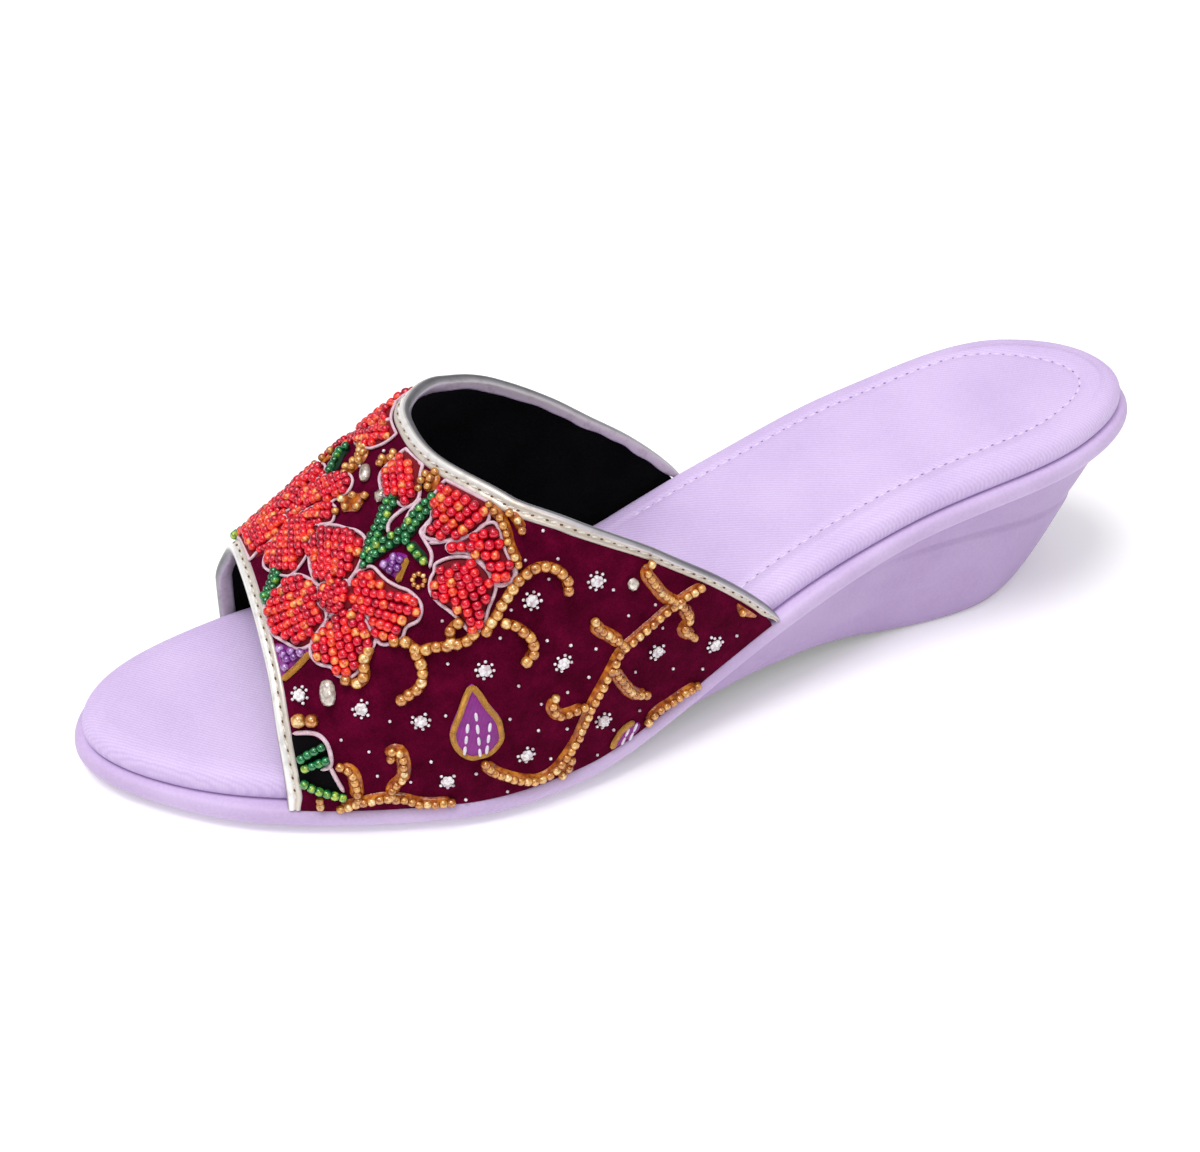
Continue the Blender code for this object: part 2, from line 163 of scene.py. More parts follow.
def half_width(y, outer):
    """Half width of the insole, on its outer or inner side."""
    along = np.clip(along_of(y), 0.0004, 0.9996)
    turn = np.arccos(1.0 - 2.0 * along)
    return (outer_half if outer else inner_half)(np.degrees(turn)) * np.sin(turn) * BALL_WIDTH


def plan(turn, side, out):
    """Insole outline; side +1 outer, -1 inner; out: moved outward."""
    full = outer_half if side > 0 else inner_half

    def raw(t):
        x = TOE_LINE + side * full(np.degrees(t)) * np.sin(t) * BALL_WIDTH
        return x, -0.5 * INSOLE_LENGTH * np.cos(t)
    x, y = raw(turn)
    (xa, ya), (xb, yb) = raw(turn - 1e-3), raw(turn + 1e-3)
    size = np.hypot(xb - xa, yb - ya)
    return x + side * (yb - ya) / size * out, y - side * (xb - xa) / size * out


def foot_plan(turn, side, out):
    """Outline at the foot of the sole: drawn in under the heel and raked forward."""
    along = 0.5 - 0.5 * np.cos(turn)
    drawn = BALL_FOOT_IN + (WEDGE_FOOT_IN - BALL_FOOT_IN) * ease(along, 0.40, 0.62)
    x, y = plan(turn, side, out - drawn)
    return x, y - (HEEL_RAKE - WEDGE_FOOT_IN) * ease(along, 0.62, 1.0)


def tuck(y):
    """How far the insole is drawn in beside the band."""
    along = along_of(y)
    return TUCK * ease(along, 0.03, 0.142) * (1.0 - ease(along, 0.615, 0.76))


def band_at(y, swing):
    """Outer face of the band at places along the shoe and round the arch."""
    y, swing = np.broadcast_arrays(np.asarray(y, float), np.asarray(swing, float))
    wide_out = half_width(y, True) + BAND_OUT
    wide_in = half_width(y, False) + BAND_OUT
    crest_x = 0.5 * (wide_out - wide_in) - CREST_INWARD
    rise = crest_rise(along_of(y)) * INSTEP_HEIGHT + PAD
    c, s = np.cos(swing), np.abs(np.sin(swing))
    x = np.where(c >= 0.0, crest_x + (wide_out - crest_x) * np.abs(c) ** ROUND_OUTER,
                 crest_x - (wide_in + crest_x) * np.abs(c) ** ROUND_INNER)
    return np.stack([TOE_LINE + x, y, top(y) - PAD + rise * s ** ROUND_RISE], -1)


def unit(v):
    """Arrows of length 1 along given ones."""
    return v / np.maximum(np.linalg.norm(v, axis=-1, keepdims=True), 1e-12)


def band_ways(y, swing):
    """Change of place per metre along the shoe and per radian round the arch."""
    e, d = 0.5 * MM, 0.02
    s = np.clip(swing, d, math.pi - d)
    ahead = (band_at(y + e, s) - band_at(y - e, s)) / (2 * e)
    around = (band_at(y, s + d) - band_at(y, s - d)) / (2 * d)
    return ahead, around


def band_out(y, swing):
    """Unit way out of the band's face."""
    ahead, around = band_ways(y, swing)
    return unit(np.cross(ahead, around))


def band_lifted(y, swing, lift):
    """Places a lift off the band's face."""
    return band_at(y, swing) + band_out(y, swing) * np.asarray(lift)[..., None]


def edge_y(swing, part):
    """Along the shoe at a part of the way from the toe edge to the throat edge."""
    a, b = toe_edge(np.degrees(swing)), throat_edge(np.degrees(swing))
    return (a + (b - a) * part - 0.5) * INSOLE_LENGTH


BAND_MIDDLE = -40.0 * MM        # along the shoe, about the middle of the band


def run_of(points):
    """Length along a line at each of its points."""
    return np.concatenate([[0.0], np.cumsum(np.linalg.norm(np.diff(points, axis=0), axis=1))])


def at_lengths(at, run, points):
    """Places on a line at given lengths along it."""
    return np.stack([np.interp(at, run, points[:, k]) for k in range(points.shape[1])], -1)


def even_swings(count):
    """Swing angles spread evenly along the arch's own length."""
    fine = np.linspace(0.0, math.pi, 801)
    run = run_of(band_at(BAND_MIDDLE, fine))
    return np.interp(np.linspace(0.0, run[-1], count), run, fine)


# ------------------------------------------------------------- making of meshes
def placed(name, data):
    """New object in the scene."""
    made = bpy.data.objects.new(name, data)
    bpy.context.scene.collection.objects.link(made)
    return made


def point_layer(mesh, label, values):
    """Stores a number or an arrow at each of a mesh's points."""
    kind, key = ("FLOAT_VECTOR", "vector") if np.ndim(values) == 2 else ("FLOAT", "value")
    layer = mesh.attributes.new(label, kind, "POINT")
    layer.data.foreach_set(key, np.ascontiguousarray(values, np.float32).ravel())


def object_of(name, vertices, faces, materials, smooth=50.0, uv=None, tint=None):
    """Mesh object with its place in its mesh, doubles merged and faces outward."""
    mesh = bpy.data.meshes.new(name)
    mesh.from_pydata([tuple(v) for v in vertices], [], [tuple(int(i) for i in f) for f in faces])
    for material in materials:
        mesh.materials.append(material)
    if tint is not None:
        point_layer(mesh, "tint", tint)
    if uv is not None:
        layer = mesh.uv_layers.new(name="run")
        corners = np.zeros(len(mesh.loops), np.int32)
        mesh.loops.foreach_get("vertex_index", corners)
        layer.data.foreach_set("uv", np.asarray(uv, np.float32)[corners].ravel())
    bm = bmesh.new()
    bm.from_mesh(mesh)
    bmesh.ops.remove_doubles(bm, verts=bm.verts, dist=0.01 * MM)
    bmesh.ops.recalc_face_normals(bm, faces=bm.faces)
    bm.to_mesh(mesh)
    bm.free()
    mesh.shade_smooth()
    mesh.set_sharp_from_angle(angle=math.radians(smooth))
    return placed(name, mesh)


def grid_faces(rows, columns, first=0, closed=False):
    """Quads over rows x columns vertices; closed joins the last column to the first."""
    last = columns if closed else columns - 1
    return [(first + r * columns + c, first + r * columns + (c + 1) % columns,
             first + (r + 1) * columns + (c + 1) % columns, first + (r + 1) * columns + c)
            for r in range(rows - 1) for c in range(last)]


def shell(name, face, back, materials):
    """Closed wall between two grids of points, rows x columns x 3."""
    rows, columns = face.shape[:2]
    count = rows * columns
    vertices = np.concatenate([face.reshape(-1, 3), back.reshape(-1, 3)])
    faces = grid_faces(rows, columns) + [f[::-1] for f in grid_faces(rows, columns, count)]
    rim = ([r * columns for r in range(rows)] + [(rows - 1) * columns + c for c in range(1, columns)]
           + [r * columns + columns - 1 for r in range(rows - 2, -1, -1)] + list(range(columns - 2, 0, -1)))
    faces += [(a, b, b + count, a + count) for a, b in zip(rim, rim[1:] + rim[:1])]
    return object_of(name, vertices, faces, materials)


def ends_of(count, sides, first=0):
    """The two faces that close a tube of rings."""
    last = first + (count - 1) * sides
    return [tuple(range(first, first + sides))[::-1], tuple(range(last, last + sides))]


def strip(paths, name, materials):
    """Closed strips along paths.  Each path is (points, out, section): out is the
    way up at each point, and section the loop of (across, up) offsets, which may
    change along the path.  The UV map runs along the strip in metres."""
    vertices, faces, uvs = [], [], []
    for points, out, section in paths:
        points, out = np.asarray(points), np.asarray(out)
        count = len(points)
        section = np.broadcast_to(np.asarray(section, float), (count,) + np.shape(section)[-2:])
        way = unit(np.gradient(points, axis=0))
        across = unit(np.cross(way, out))
        up = unit(np.cross(across, way))
        ring = points[:, None] + across[:, None] * section[..., :1] + up[:, None] * section[..., 1:]
        sides = section.shape[1]
        first = len(vertices)
        vertices.extend(ring.reshape(-1, 3))
        faces += grid_faces(count, sides, first, closed=True) + ends_of(count, sides, first)
        uvs.extend((length, j / sides) for length in run_of(points) for j in range(sides))
    return object_of(name, vertices, faces, materials, 60.0, uv=uvs)


def oval(wide, high, sides, lift=0.0):
    """Oval section loop, lift: its middle over the path."""
    turn = 2.0 * math.pi * np.arange(sides) / sides
    return np.stack([0.5 * wide * np.cos(turn), lift + 0.5 * high * np.sin(turn)], -1)


def bent(points, fineness):
    """Points on the smooth curve between the inner ones of a row of points."""
    fine = []
    for a, b, c, d in zip(points, points[1:], points[2:], points[3:]):
        for t in np.arange(0.0, 1.0, fineness):
            fine.append(0.5 * (2 * b + (c - a) * t + (2 * a - 5 * b + 4 * c - d) * t * t
                               + (3 * b - a - 3 * c + d) * t ** 3))
    return fine


def smooth_path(points, step):
    """Points an even step apart on a smooth curve through chosen points."""
    points = np.asarray(points, float)
    if len(points) == 2:
        fine = points[0] + (points[1] - points[0]) * np.linspace(0.0, 1.0, 33)[:, None]
    else:
        ends = np.vstack([2 * points[0] - points[1], points, 2 * points[-1] - points[-2]])
        fine = np.array(bent(ends, 0.05) + [points[-1]])
    run = run_of(fine)
    return at_lengths(np.linspace(0.0, run[-1], max(int(round(run[-1] / step)) + 1, 2)), run, fine)


def closed_loop(points, step):
    """Points an even step apart round a smooth closed loop."""
    points = np.asarray(points, float)
    fine = bent(np.vstack([points[-1:], points, points[:2]]), 0.1)
    fine = np.array(fine + [fine[0]])
    run = run_of(fine)
    return at_lengths(np.linspace(0.0, run[-1], max(int(round(run[-1] / step)), 8) + 1)[:-1], run, fine)


# ------------------------------------------------------------------ the finishes
WAVE_LENGTH = 0.314             # one wave of a wave texture, at a scale of 1


def shade(red, green, blue, part=1.0):
    """Colour from 0-255 display values; part: darkened to a part of its light."""
    return tuple(part * (v / 255 / 12.92 if v / 255 <= 0.04045 else ((v / 255 + 0.055) / 1.055) ** 2.4)
                 for v in (red, green, blue)) + (1.0,)


def finish(name, rough, metal=0.0, **more):
    """New material: its node tree and its Principled shader."""
    made = bpy.data.materials.new(name)
    made.use_nodes = True
    shader = made.node_tree.nodes["Principled BSDF"]
    for socket, value in dict(more, Roughness=rough, Metallic=metal).items():
        shader.inputs[socket.replace("_", " ")].default_value = value
    return made, made.node_tree, shader


def feed(tree, socket, value):
    """Sets a node's input, or links another node's output to it."""
    if isinstance(value, bpy.types.NodeSocket):
        tree.links.new(value, socket)
    else:
        socket.default_value = value


def node(tree, kind, settings=None, **inputs):
    """Node with its settings and inputs; an input may be another node's output."""
    made = tree.nodes.new(kind)
    for key, value in (settings or {}).items():
        setattr(made, key, value)
    for key, value in inputs.items():
        feed(tree, made.inputs[key.replace("_", " ")], value)
    return made


def place_of(tree, turn=(0.0, 0.0, 0.0), stretch=(1.0, 1.0, 1.0), output="Object"):
    """Place on the piece, turned and stretched."""
    coordinate = node(tree, "ShaderNodeTexCoord")
    return node(tree, "ShaderNodeMapping", Vector=coordinate.outputs[output],
                Rotation=tuple(math.radians(a) for a in turn), Scale=stretch).outputs["Vector"]


def noise(tree, pitch, place=None, detail=2.0, rough=0.5):
    """Soft noise whose spots are about a pitch apart, from 0 to 1."""
    place = place or place_of(tree)
    return node(tree, "ShaderNodeTexNoise", Vector=place, Scale=1.0 / pitch, Detail=detail,
                Roughness=rough).outputs["Fac"]


def ramp(tree, factor, *stops):
    """Colours along a factor; each stop is its place and its 0-255 colour."""
    made = node(tree, "ShaderNodeValToRGB", Fac=factor)
    marks = made.color_ramp.elements
    while len(marks) < len(stops):
        marks.new(0.5)
    for mark, (place, *colour) in zip(marks, stops):
        mark.position, mark.color = place, shade(*colour)
    return made.outputs["Color"]


def math_node(tree, kind, a, b):
    """Result of one kind of sum on two factors or numbers."""
    made = node(tree, "ShaderNodeMath", {"operation": kind})
    feed(tree, made.inputs[0], a)
    feed(tree, made.inputs[1], b)
    return made.outputs[0]


def mixed(tree, first, second, part):
    """Two factors mixed; part: the share of the first."""
    return math_node(tree, "ADD", math_node(tree, "MULTIPLY", first, part),
                     math_node(tree, "MULTIPLY", second, 1.0 - part))


def spread_over(tree, factor, low, high):
    """A factor from 0 to 1 spread between two values."""
    return node(tree, "ShaderNodeMapRange", Value=factor, To_Min=low, To_Max=high).outputs["Result"]


def relief(tree, shader, height, depth, strength, under=None):
    """Bump of a real depth; under: a bump already made."""
    bump = node(tree, "ShaderNodeBump", Height=height, Distance=depth, Strength=strength)
    if under is not None:
        tree.links.new(under.outputs["Normal"], bump.inputs["Normal"])
    tree.links.new(bump.outputs["Normal"], shader.inputs["Normal"])
    return bump


def link_colour(tree, shader, colour):
    """Links a colour to the shader's base colour."""
    tree.links.new(colour, shader.inputs["Base Color"])


def blended(tree, first, second, part=1.0):
    """Two colours multiplied; part: how much of that is taken."""
    made = node(tree, "ShaderNodeMix", {"data_type": "RGBA", "blend_type": "MULTIPLY"})
    for place, value in ((0, part), (6, first), (7, second)):
        feed(tree, made.inputs[place], value)
    return made.outputs[2]


def lilac_leather(name, light, deep, twill=0.0, depth=0.10 * MM):
    """Coated cloth: clouded colour, fine grain, dull shine; twill: how strongly its
    fine crossed diagonal ribs show."""
    made, tree, shader = finish(name, 0.5, Specular_IOR_Level=0.35)
    clouds = noise(tree, 24 * MM, detail=3.0)
    specks = noise(tree, 0.7 * MM, detail=2.0)
    tree.links.new(spread_over(tree, specks, 0.42, 0.58), shader.inputs["Roughness"])
    colour = ramp(tree, mixed(tree, clouds, specks, 0.7), (0.36, *deep), (0.62, *light))
    grain = relief(tree, shader, noise(tree, 9 * MM), 0.5 * MM, 0.35)
    if twill:
        waves = [node(tree, "ShaderNodeTexWave", Vector=place_of(tree, (0, 0, turn)),
                      Scale=WAVE_LENGTH / (0.7 * MM), Distortion=2.5, Detail=2.0).outputs["Fac"]
                 for turn in (38, -52)]
        crossed = math_node(tree, "ADD", math_node(tree, "MULTIPLY", waves[1], 0.6), 0.4)
        weave = math_node(tree, "MULTIPLY", waves[0], crossed)
        colour = blended(tree, colour, ramp(tree, weave, (0.0, 238, 233, 244), (0.6, 255, 255, 255)), twill)
        relief(tree, shader, weave, depth, 0.8 * twill, grain)
    else:
        relief(tree, shader, specks, depth, 0.6, grain)
    link_colour(tree, shader, colour)
    return made


def plum_velvet():
    """Short pile, clouded where the nap lies another way, with a faint sheen."""
    made, tree, shader = finish("plum_velvet", 0.95, Specular_IOR_Level=0.04, Sheen_Weight=0.16,
                                Sheen_Roughness=0.4, Sheen_Tint=shade(190, 40, 110))
    nap = noise(tree, 5 * MM, detail=4.0, rough=0.65)
    pile = noise(tree, 0.35 * MM, detail=2.0)
    link_colour(tree, shader, ramp(tree, mixed(tree, nap, pile, 0.6), (0.34, 62, 0, 23), (0.52, 84, 2, 36),
                                   (0.70, 108, 6, 48)))
    relief(tree, shader, pile, 0.16 * MM, 0.6)
    return made


def black_lining():
    """Black napped cloth inside the band."""
    made, tree, shader = finish("black_lining", 0.98, Specular_IOR_Level=0.03, Sheen_Weight=0.02,
                                Sheen_Roughness=0.5)
    pile = noise(tree, 0.5 * MM, detail=3.0)
    cloud = noise(tree, 12 * MM, detail=3.0)
    link_colour(tree, shader, ramp(tree, mixed(tree, cloud, pile, 0.5), (0.35, 4, 4, 5), (0.72, 19, 18, 19)))
    relief(tree, shader, pile, 0.12 * MM, 0.5)
    return made


def silver_leather():
    """Metallic foil on leather, a little rubbed: a bright flap, and a fold greyed
    by painted shade and painted dark reflection.
    """
    made, tree, shader = finish("silver_foil", 0.30, 0.30)
    rubs = noise(tree, 3.5 * MM, detail=5.0, rough=0.7)
    scratch = noise(tree, 1.1 * MM, place_of(tree, stretch=(0.35, 1.0, 1.0)), detail=3.0, rough=0.6)
    # the tint paints bright silver, beige, pale grey-lilac, and the dark grey that is painted shade and
    # painted dark reflection
    part = node(tree, "ShaderNodeAttribute", {"attribute_name": "tint"}).outputs["Fac"]
    colour = ramp(tree, part, (0.0, 250, 249, 248), (0.30, 206, 192, 176), (0.58, 220, 214, 222),
                  (1.0, 116, 116, 120))
    worn = ramp(tree, rubs, (0.30, 216, 212, 208), (0.50, 255, 255, 255))
    link_colour(tree, shader, blended(tree, colour, worn, 0.8))
    tree.links.new(spread_over(tree, rubs, 0.20, 0.44), shader.inputs["Roughness"])
    soft = relief(tree, shader, noise(tree, 3.5 * MM), 0.4 * MM, 0.5)
    relief(tree, shader, scratch, 0.05 * MM, 0.6, soft)
    return made


def glass_beads(name, *stops, rough=0.10, metal=0.0, level=1.0, ior=1.7, painted_glow=0.0, shine=(1.0, 1.0, 1.0)):
    """Small glass beads whose colour goes by their own tint; glow: how much painted
    light and shade the glass gets, lighter where it is turned up and outward and darker
    where it is turned away, and shine: the colour that the lining of the hole gives the gloss."""
    made, tree, shader = finish(name, rough, metal, Specular_IOR_Level=level, IOR=ior,
                                Specular_Tint=(*shine, 1.0))
    tint = node(tree, "ShaderNodeAttribute", {"attribute_name": "tint"}).outputs["Fac"]
    depth = noise(tree, 0.9 * MM, detail=1.0)
    # painted light and shade: a bead's own tint is dimmed, then lifted where its normal turns toward a fixed
    # way up and outward
    if painted_glow:
        turned = node(tree, "ShaderNodeVectorMath", {"operation": "DOT_PRODUCT"})
        feed(tree, turned.inputs[0], node(tree, "ShaderNodeTexCoord").outputs["Normal"])
        feed(tree, turned.inputs[1], (0.68, -0.10, 0.45))
        painted_light = node(tree, "ShaderNodeMapRange", {"interpolation_type": "SMOOTHSTEP"},
                        Value=turned.outputs["Value"], From_Min=0.1, From_Max=0.85, To_Min=0.0,
                        To_Max=painted_glow).outputs["Result"]
        own = math_node(tree, "MULTIPLY", math_node(tree, "POWER", tint, 1.4), 1.0 - painted_glow)
        clouds = math_node(tree, "MULTIPLY", math_node(tree, "SUBTRACT", depth, 0.5), 0.7)
        tint = math_node(tree, "ADD", math_node(tree, "ADD", own, painted_light), clouds)
    streak = ramp(tree, depth, (0.32, 205, 190, 190), (0.60, 255, 255, 255))
    link_colour(tree, shader, blended(tree, ramp(tree, tint, *stops), streak))
    return made


def satin(name, light, deep, pitch=0.28 * MM, rough=0.38, along_run=False, clouded=0.5, depth=0.10 * MM):
    """Satin stitch: close glossy threads, across the run of a strip or along the shoe."""
    made, tree, shader = finish(name, rough, Specular_IOR_Level=0.5)
    if along_run:
        place, bands = place_of(tree, (0, 0, 28), output="UV"), "X"
    else:
        place, bands = place_of(tree), "Y"
    threads = node(tree, "ShaderNodeTexWave", {"bands_direction": bands}, Vector=place,
                   Scale=WAVE_LENGTH / pitch, Distortion=0.8, Detail=1.0).outputs["Fac"]
    cloud = noise(tree, 1.6 * MM, detail=2.0)
    link_colour(tree, shader, ramp(tree, mixed(tree, cloud, threads, clouded), (0.30, *deep), (0.72, *light)))
    relief(tree, shader, threads, depth, 0.8)
    return made


def plain(name, colour, rough, **more):
    """One colour, faintly clouded and grained."""
    made, tree, shader = finish(name, rough, **more)
    cloud = noise(tree, 0.4 * MM, detail=3.0)
    link_colour(tree, shader, ramp(tree, cloud, (0.3, *colour, 0.78), (0.6, *colour)))
    relief(tree, shader, cloud, 0.05 * MM, 0.6)
    return made


def amber_gum():
    """Clear amber backing under the vines: glossy, deeper in places."""
    made, tree, shader = finish("amber_backing", 0.16, Specular_IOR_Level=0.5)
    cloud = noise(tree, 1.5 * MM, detail=2.0)
    colour = ramp(tree, cloud, (0.34, 128, 50, 6), (0.52, 176, 86, 14), (0.70, 214, 134, 40))
    link_colour(tree, shader, colour)
    relief(tree, shader, cloud, 0.25 * MM, 0.6)
    return made


FOOTBED = lilac_leather("lilac_footbed", (224, 203, 242), (214, 191, 234), twill=0.7)
# the rim and wedge covers are darker copies of the footbed's lilac leather: the darkening is painted shade on
# the shoe's sides, strongest on the wedge
RIM_COVER_SHADED = lilac_leather("lilac_rim_cover_shaded", (212, 190, 229), (198, 174, 216), depth=0.09 * MM)
WEDGE_COVER_SHADED = lilac_leather("lilac_wedge_cover_shaded", (191, 167, 209), (177, 151, 197), depth=0.09 * MM)
RUBBER = plain("dark_rubber", (44, 40, 44), 0.8)
VELVET = plum_velvet()
LINING = black_lining()
SILVER = silver_leather()
# the red, amber, emerald, violet and clear glass carry painted light and shade through their glow
RED = glass_beads("red_glass", (0.0, 112, 0, 24), (0.18, 190, 0, 40), (0.40, 236, 0, 44), (0.62, 252, 26, 34),
                  (0.84, 255, 96, 44), (1.06, 255, 184, 96), rough=0.09, painted_glow=0.30, shine=(1.0, 0.42, 0.50))
AMBER = glass_beads("amber_glass", (0.0, 146, 72, 14), (0.4, 208, 128, 46), (0.8, 242, 184, 98),
                    (1.0, 255, 232, 176), metal=0.1, painted_glow=0.45, shine=(1.0, 0.93, 0.78))
EMERALD = glass_beads("emerald_glass", (0.0, 0, 32, 14), (0.25, 2, 84, 40), (0.6, 12, 130, 72),
                      (0.78, 80, 150, 40), (1.0, 190, 206, 64), painted_glow=0.3, shine=(0.6, 1.0, 0.7))
VIOLET = glass_beads("violet_glass", (0.0, 92, 20, 120), (0.6, 136, 52, 160), (1.1, 206, 170, 226), painted_glow=0.3,
                     shine=(0.95, 0.8, 1.0))
PEARL = glass_beads("pearl_white", (0.0, 244, 240, 248), (1.0, 255, 253, 255), rough=0.3, level=0.5, ior=1.5)
CLEAR = glass_beads("smoky_clear_glass", (0.0, 170, 156, 142), (1.0, 248, 240, 230), rough=0.08, metal=0.2,
                    painted_glow=0.5)
PINK_CORD = satin("pink_white_cord", (250, 224, 234), (234, 194, 212), 0.42 * MM, 0.6, along_run=True,
                  clouded=0.85, depth=0.03 * MM)
GOLD_THREAD = satin("gold_thread", (255, 188, 80), (196, 124, 36), 0.5 * MM, 0.3, along_run=True)
AMBER_BACKING = amber_gum()
PURPLE_SATIN = satin("purple_satin", (170, 30, 162), (108, 0, 112))
CRIMSON_SATIN = satin("crimson_satin", (150, 2, 30), (96, 0, 20), rough=0.9)
BLACK_FELT = plain("black_felt", (5, 2, 5), 0.95, Specular_IOR_Level=0.12)
GREEN_FELT = plain("green_felt", (6, 44, 22), 0.9)
WHITE_THREAD = plain("white_thread", (244, 232, 248), 0.6)
PALE_THREAD = plain("pale_lilac_thread", (238, 222, 250), 0.6)
SILVER_THREAD = plain("silver_thread", (236, 230, 222), 0.45)
NEEDLE_HOLE = plain("needle_hole", (138, 112, 160), 0.9)
FOIL_HOLE = plain("foil_needle_hole", (104, 80, 62), 0.9)


# ------------------------------------------------------------------ sole pieces
def loop(count, out, drop, tucked=False):
    """Closed loop round the insole: toe tip, outer side, heel tip, inner side.  out:
    beyond its edge; drop: below its top; tucked: drawn in beside the band."""
    turns = np.linspace(0.0, math.pi, count + 1)
    rows = []
    for side, these in ((1, turns), (-1, turns[-2:0:-1])):
        here = plan(these, side, out)
        if tucked:
            here = plan(these, side, out - tuck(here[1]))
        rows.append(np.stack([here[0], here[1], top(here[1]) - drop], -1))
    return np.concatenate(rows)


def loft(name, rings, materials, caps=(True, True), pole=True):
    """Closed piece through closed rings; a cap is laid across between the two sides.
    pole: the sides of a ring meet in one point at each of its ends."""
    rings = np.asarray(rings)
    rows, around = rings.shape[:2]
    faces = grid_faces(rows, around, closed=True)
    half = around // 2
    for first, wanted in zip((0, (rows - 1) * around), caps):
        for k in range(half):
            if pole:
                corners = (k, k + 1, (around - k - 1) % around, (around - k) % around)
            else:
                corners = (k, k + 1, around - 2 - k, around - 1 - k)
            corners = list(dict.fromkeys(first + c for c in corners))
            if wanted and len(corners) > 2:
                faces.append(tuple(corners))
    return object_of(name, rings.reshape(-1, 3), faces, materials)


STITCH_IN_OUTER = 7.8 * MM      # footbed stitching in from the edge: outer side,
STITCH_IN_INNER = 6.0 * MM      # inner side,
STITCH_IN_BACK = 9.8 * MM       # and the back of the heel
FLAT_FROM = 4.8 * MM            # where the rolled edge ends and the flat starts
ROUND_BED = 170                 # steps along each side of the footbed and the rim


def stitch_inset(y, side):
    """How far the footbed's stitching runs in from its edge."""
    along_side = np.where(side > 0, STITCH_IN_OUTER, STITCH_IN_INNER)
    return along_side + (STITCH_IN_BACK - along_side) * ease(y, 88 * MM, 113 * MM)


def bed_lines(count):
    """Where the footbed's flat part starts round its edge, and where lines in from
    there lead; and the side that each is on."""
    turns = np.linspace(0.0, math.pi, count + 1)
    turns = np.concatenate([turns, turns[-2:0:-1]])
    side = np.where(np.arange(2 * count) <= count, 1, -1)
    axis_y = np.clip(-0.5 * INSOLE_LENGTH * np.cos(turns), -92 * MM, 86 * MM)
    edge = loop(count, -FLAT_FROM, 0.0, True)[:, :2]
    return edge, np.stack([np.full_like(axis_y, TOE_LINE), axis_y], -1), side


def stitch_line():
    """Points round the footbed's stitching, from the outer side to the inner side."""
    edge, axis, side = bed_lines(1200)
    room = np.linalg.norm(axis - edge, axis=1)
    into = np.zeros(len(edge))
    for _ in range(6):
        spots = edge + (axis - edge) * np.minimum(into / room, 1.0)[:, None]
        into = stitch_inset(spots[:, 1], side) - FLAT_FROM
    spots = spots[spots[:, 1] > 4 * MM]
    return np.concatenate([spots, top(spots[:, 1])[:, None]], 1)


def footbed():
    """Padded insole: rolled edge, and a shallow furrow along its stitching."""
    deep = PAD / MM
    rings = [loop(ROUND_BED, out * MM, drop * MM, True) for out, drop in (
        # out, below the top
        (-1.5, deep), (-0.5, deep), (0.0, deep - 0.7), (0.12, deep - 1.6), (0.1, deep - 2.6),
        (-0.15, 2.25), (-0.6, 1.5), (-1.3, 0.85), (-2.2, 0.42), (-3.3, 0.17), (-4.6, 0.04))]
    edge, axis, side = bed_lines(ROUND_BED)
    room = np.linalg.norm(axis - edge, axis=1)
    for into in [0.0, *np.arange(0.5, 7.6, 0.5), 9.0, 11.0, 14.5, 18.0, 23.0, 30.0, 60.0]:
        flat = edge + (axis - edge) * np.minimum(into * MM / room, 1.0)[:, None]
        behind = ease(flat[:, 1], 2 * MM, 12 * MM)
        furrow = (FLAT_FROM + into * MM - stitch_inset(flat[:, 1], side)) / (0.9 * MM)
        dip = 0.40 * MM * behind * np.exp(-furrow ** 2)
        swell = 0.12 * MM * behind * np.exp(-(furrow / 3 + 1.3) ** 2)
        rings.append(np.concatenate([flat, (top(flat[:, 1]) - dip + swell)[:, None]], 1))
    return loft("footbed", rings, [FOOTBED], caps=(True, False))


def rim():
    """Wrapped rim, rounded like piping."""
    highest, inside = PAD + 0.3 * MM, -6 * MM
    rings = [loop(ROUND_BED, inside, highest)]
    for turn in np.linspace(-1.0, 1.0, 15):
        swell = math.cos(turn * 0.5 * math.pi) ** 0.42 if abs(turn) < 1 else 0.0
        out = RIM_PROUD + (swell - 1.0) * 1.9 * MM
        rings.append(loop(ROUND_BED, out, PAD + 0.25 * MM + 0.5 * (RIM + 0.05 * MM) * (1 + turn)))
    rings.append(loop(ROUND_BED, inside, highest + RIM))
    return loft("rim_cover", rings, [RIM_COVER_SHADED])


WEDGE_DOWNS = (*np.linspace(0.0, 0.94, 46), 0.965, 0.985, 1.0, 1.0)   # parts of the way down
WEDGE_UNDER_RIM = 0.4 * MM      # wedge cover's upper edge under the rim,
WEDGE_OVER_FOOT = 0.6 * MM      # and its lower edge over the sole's underside


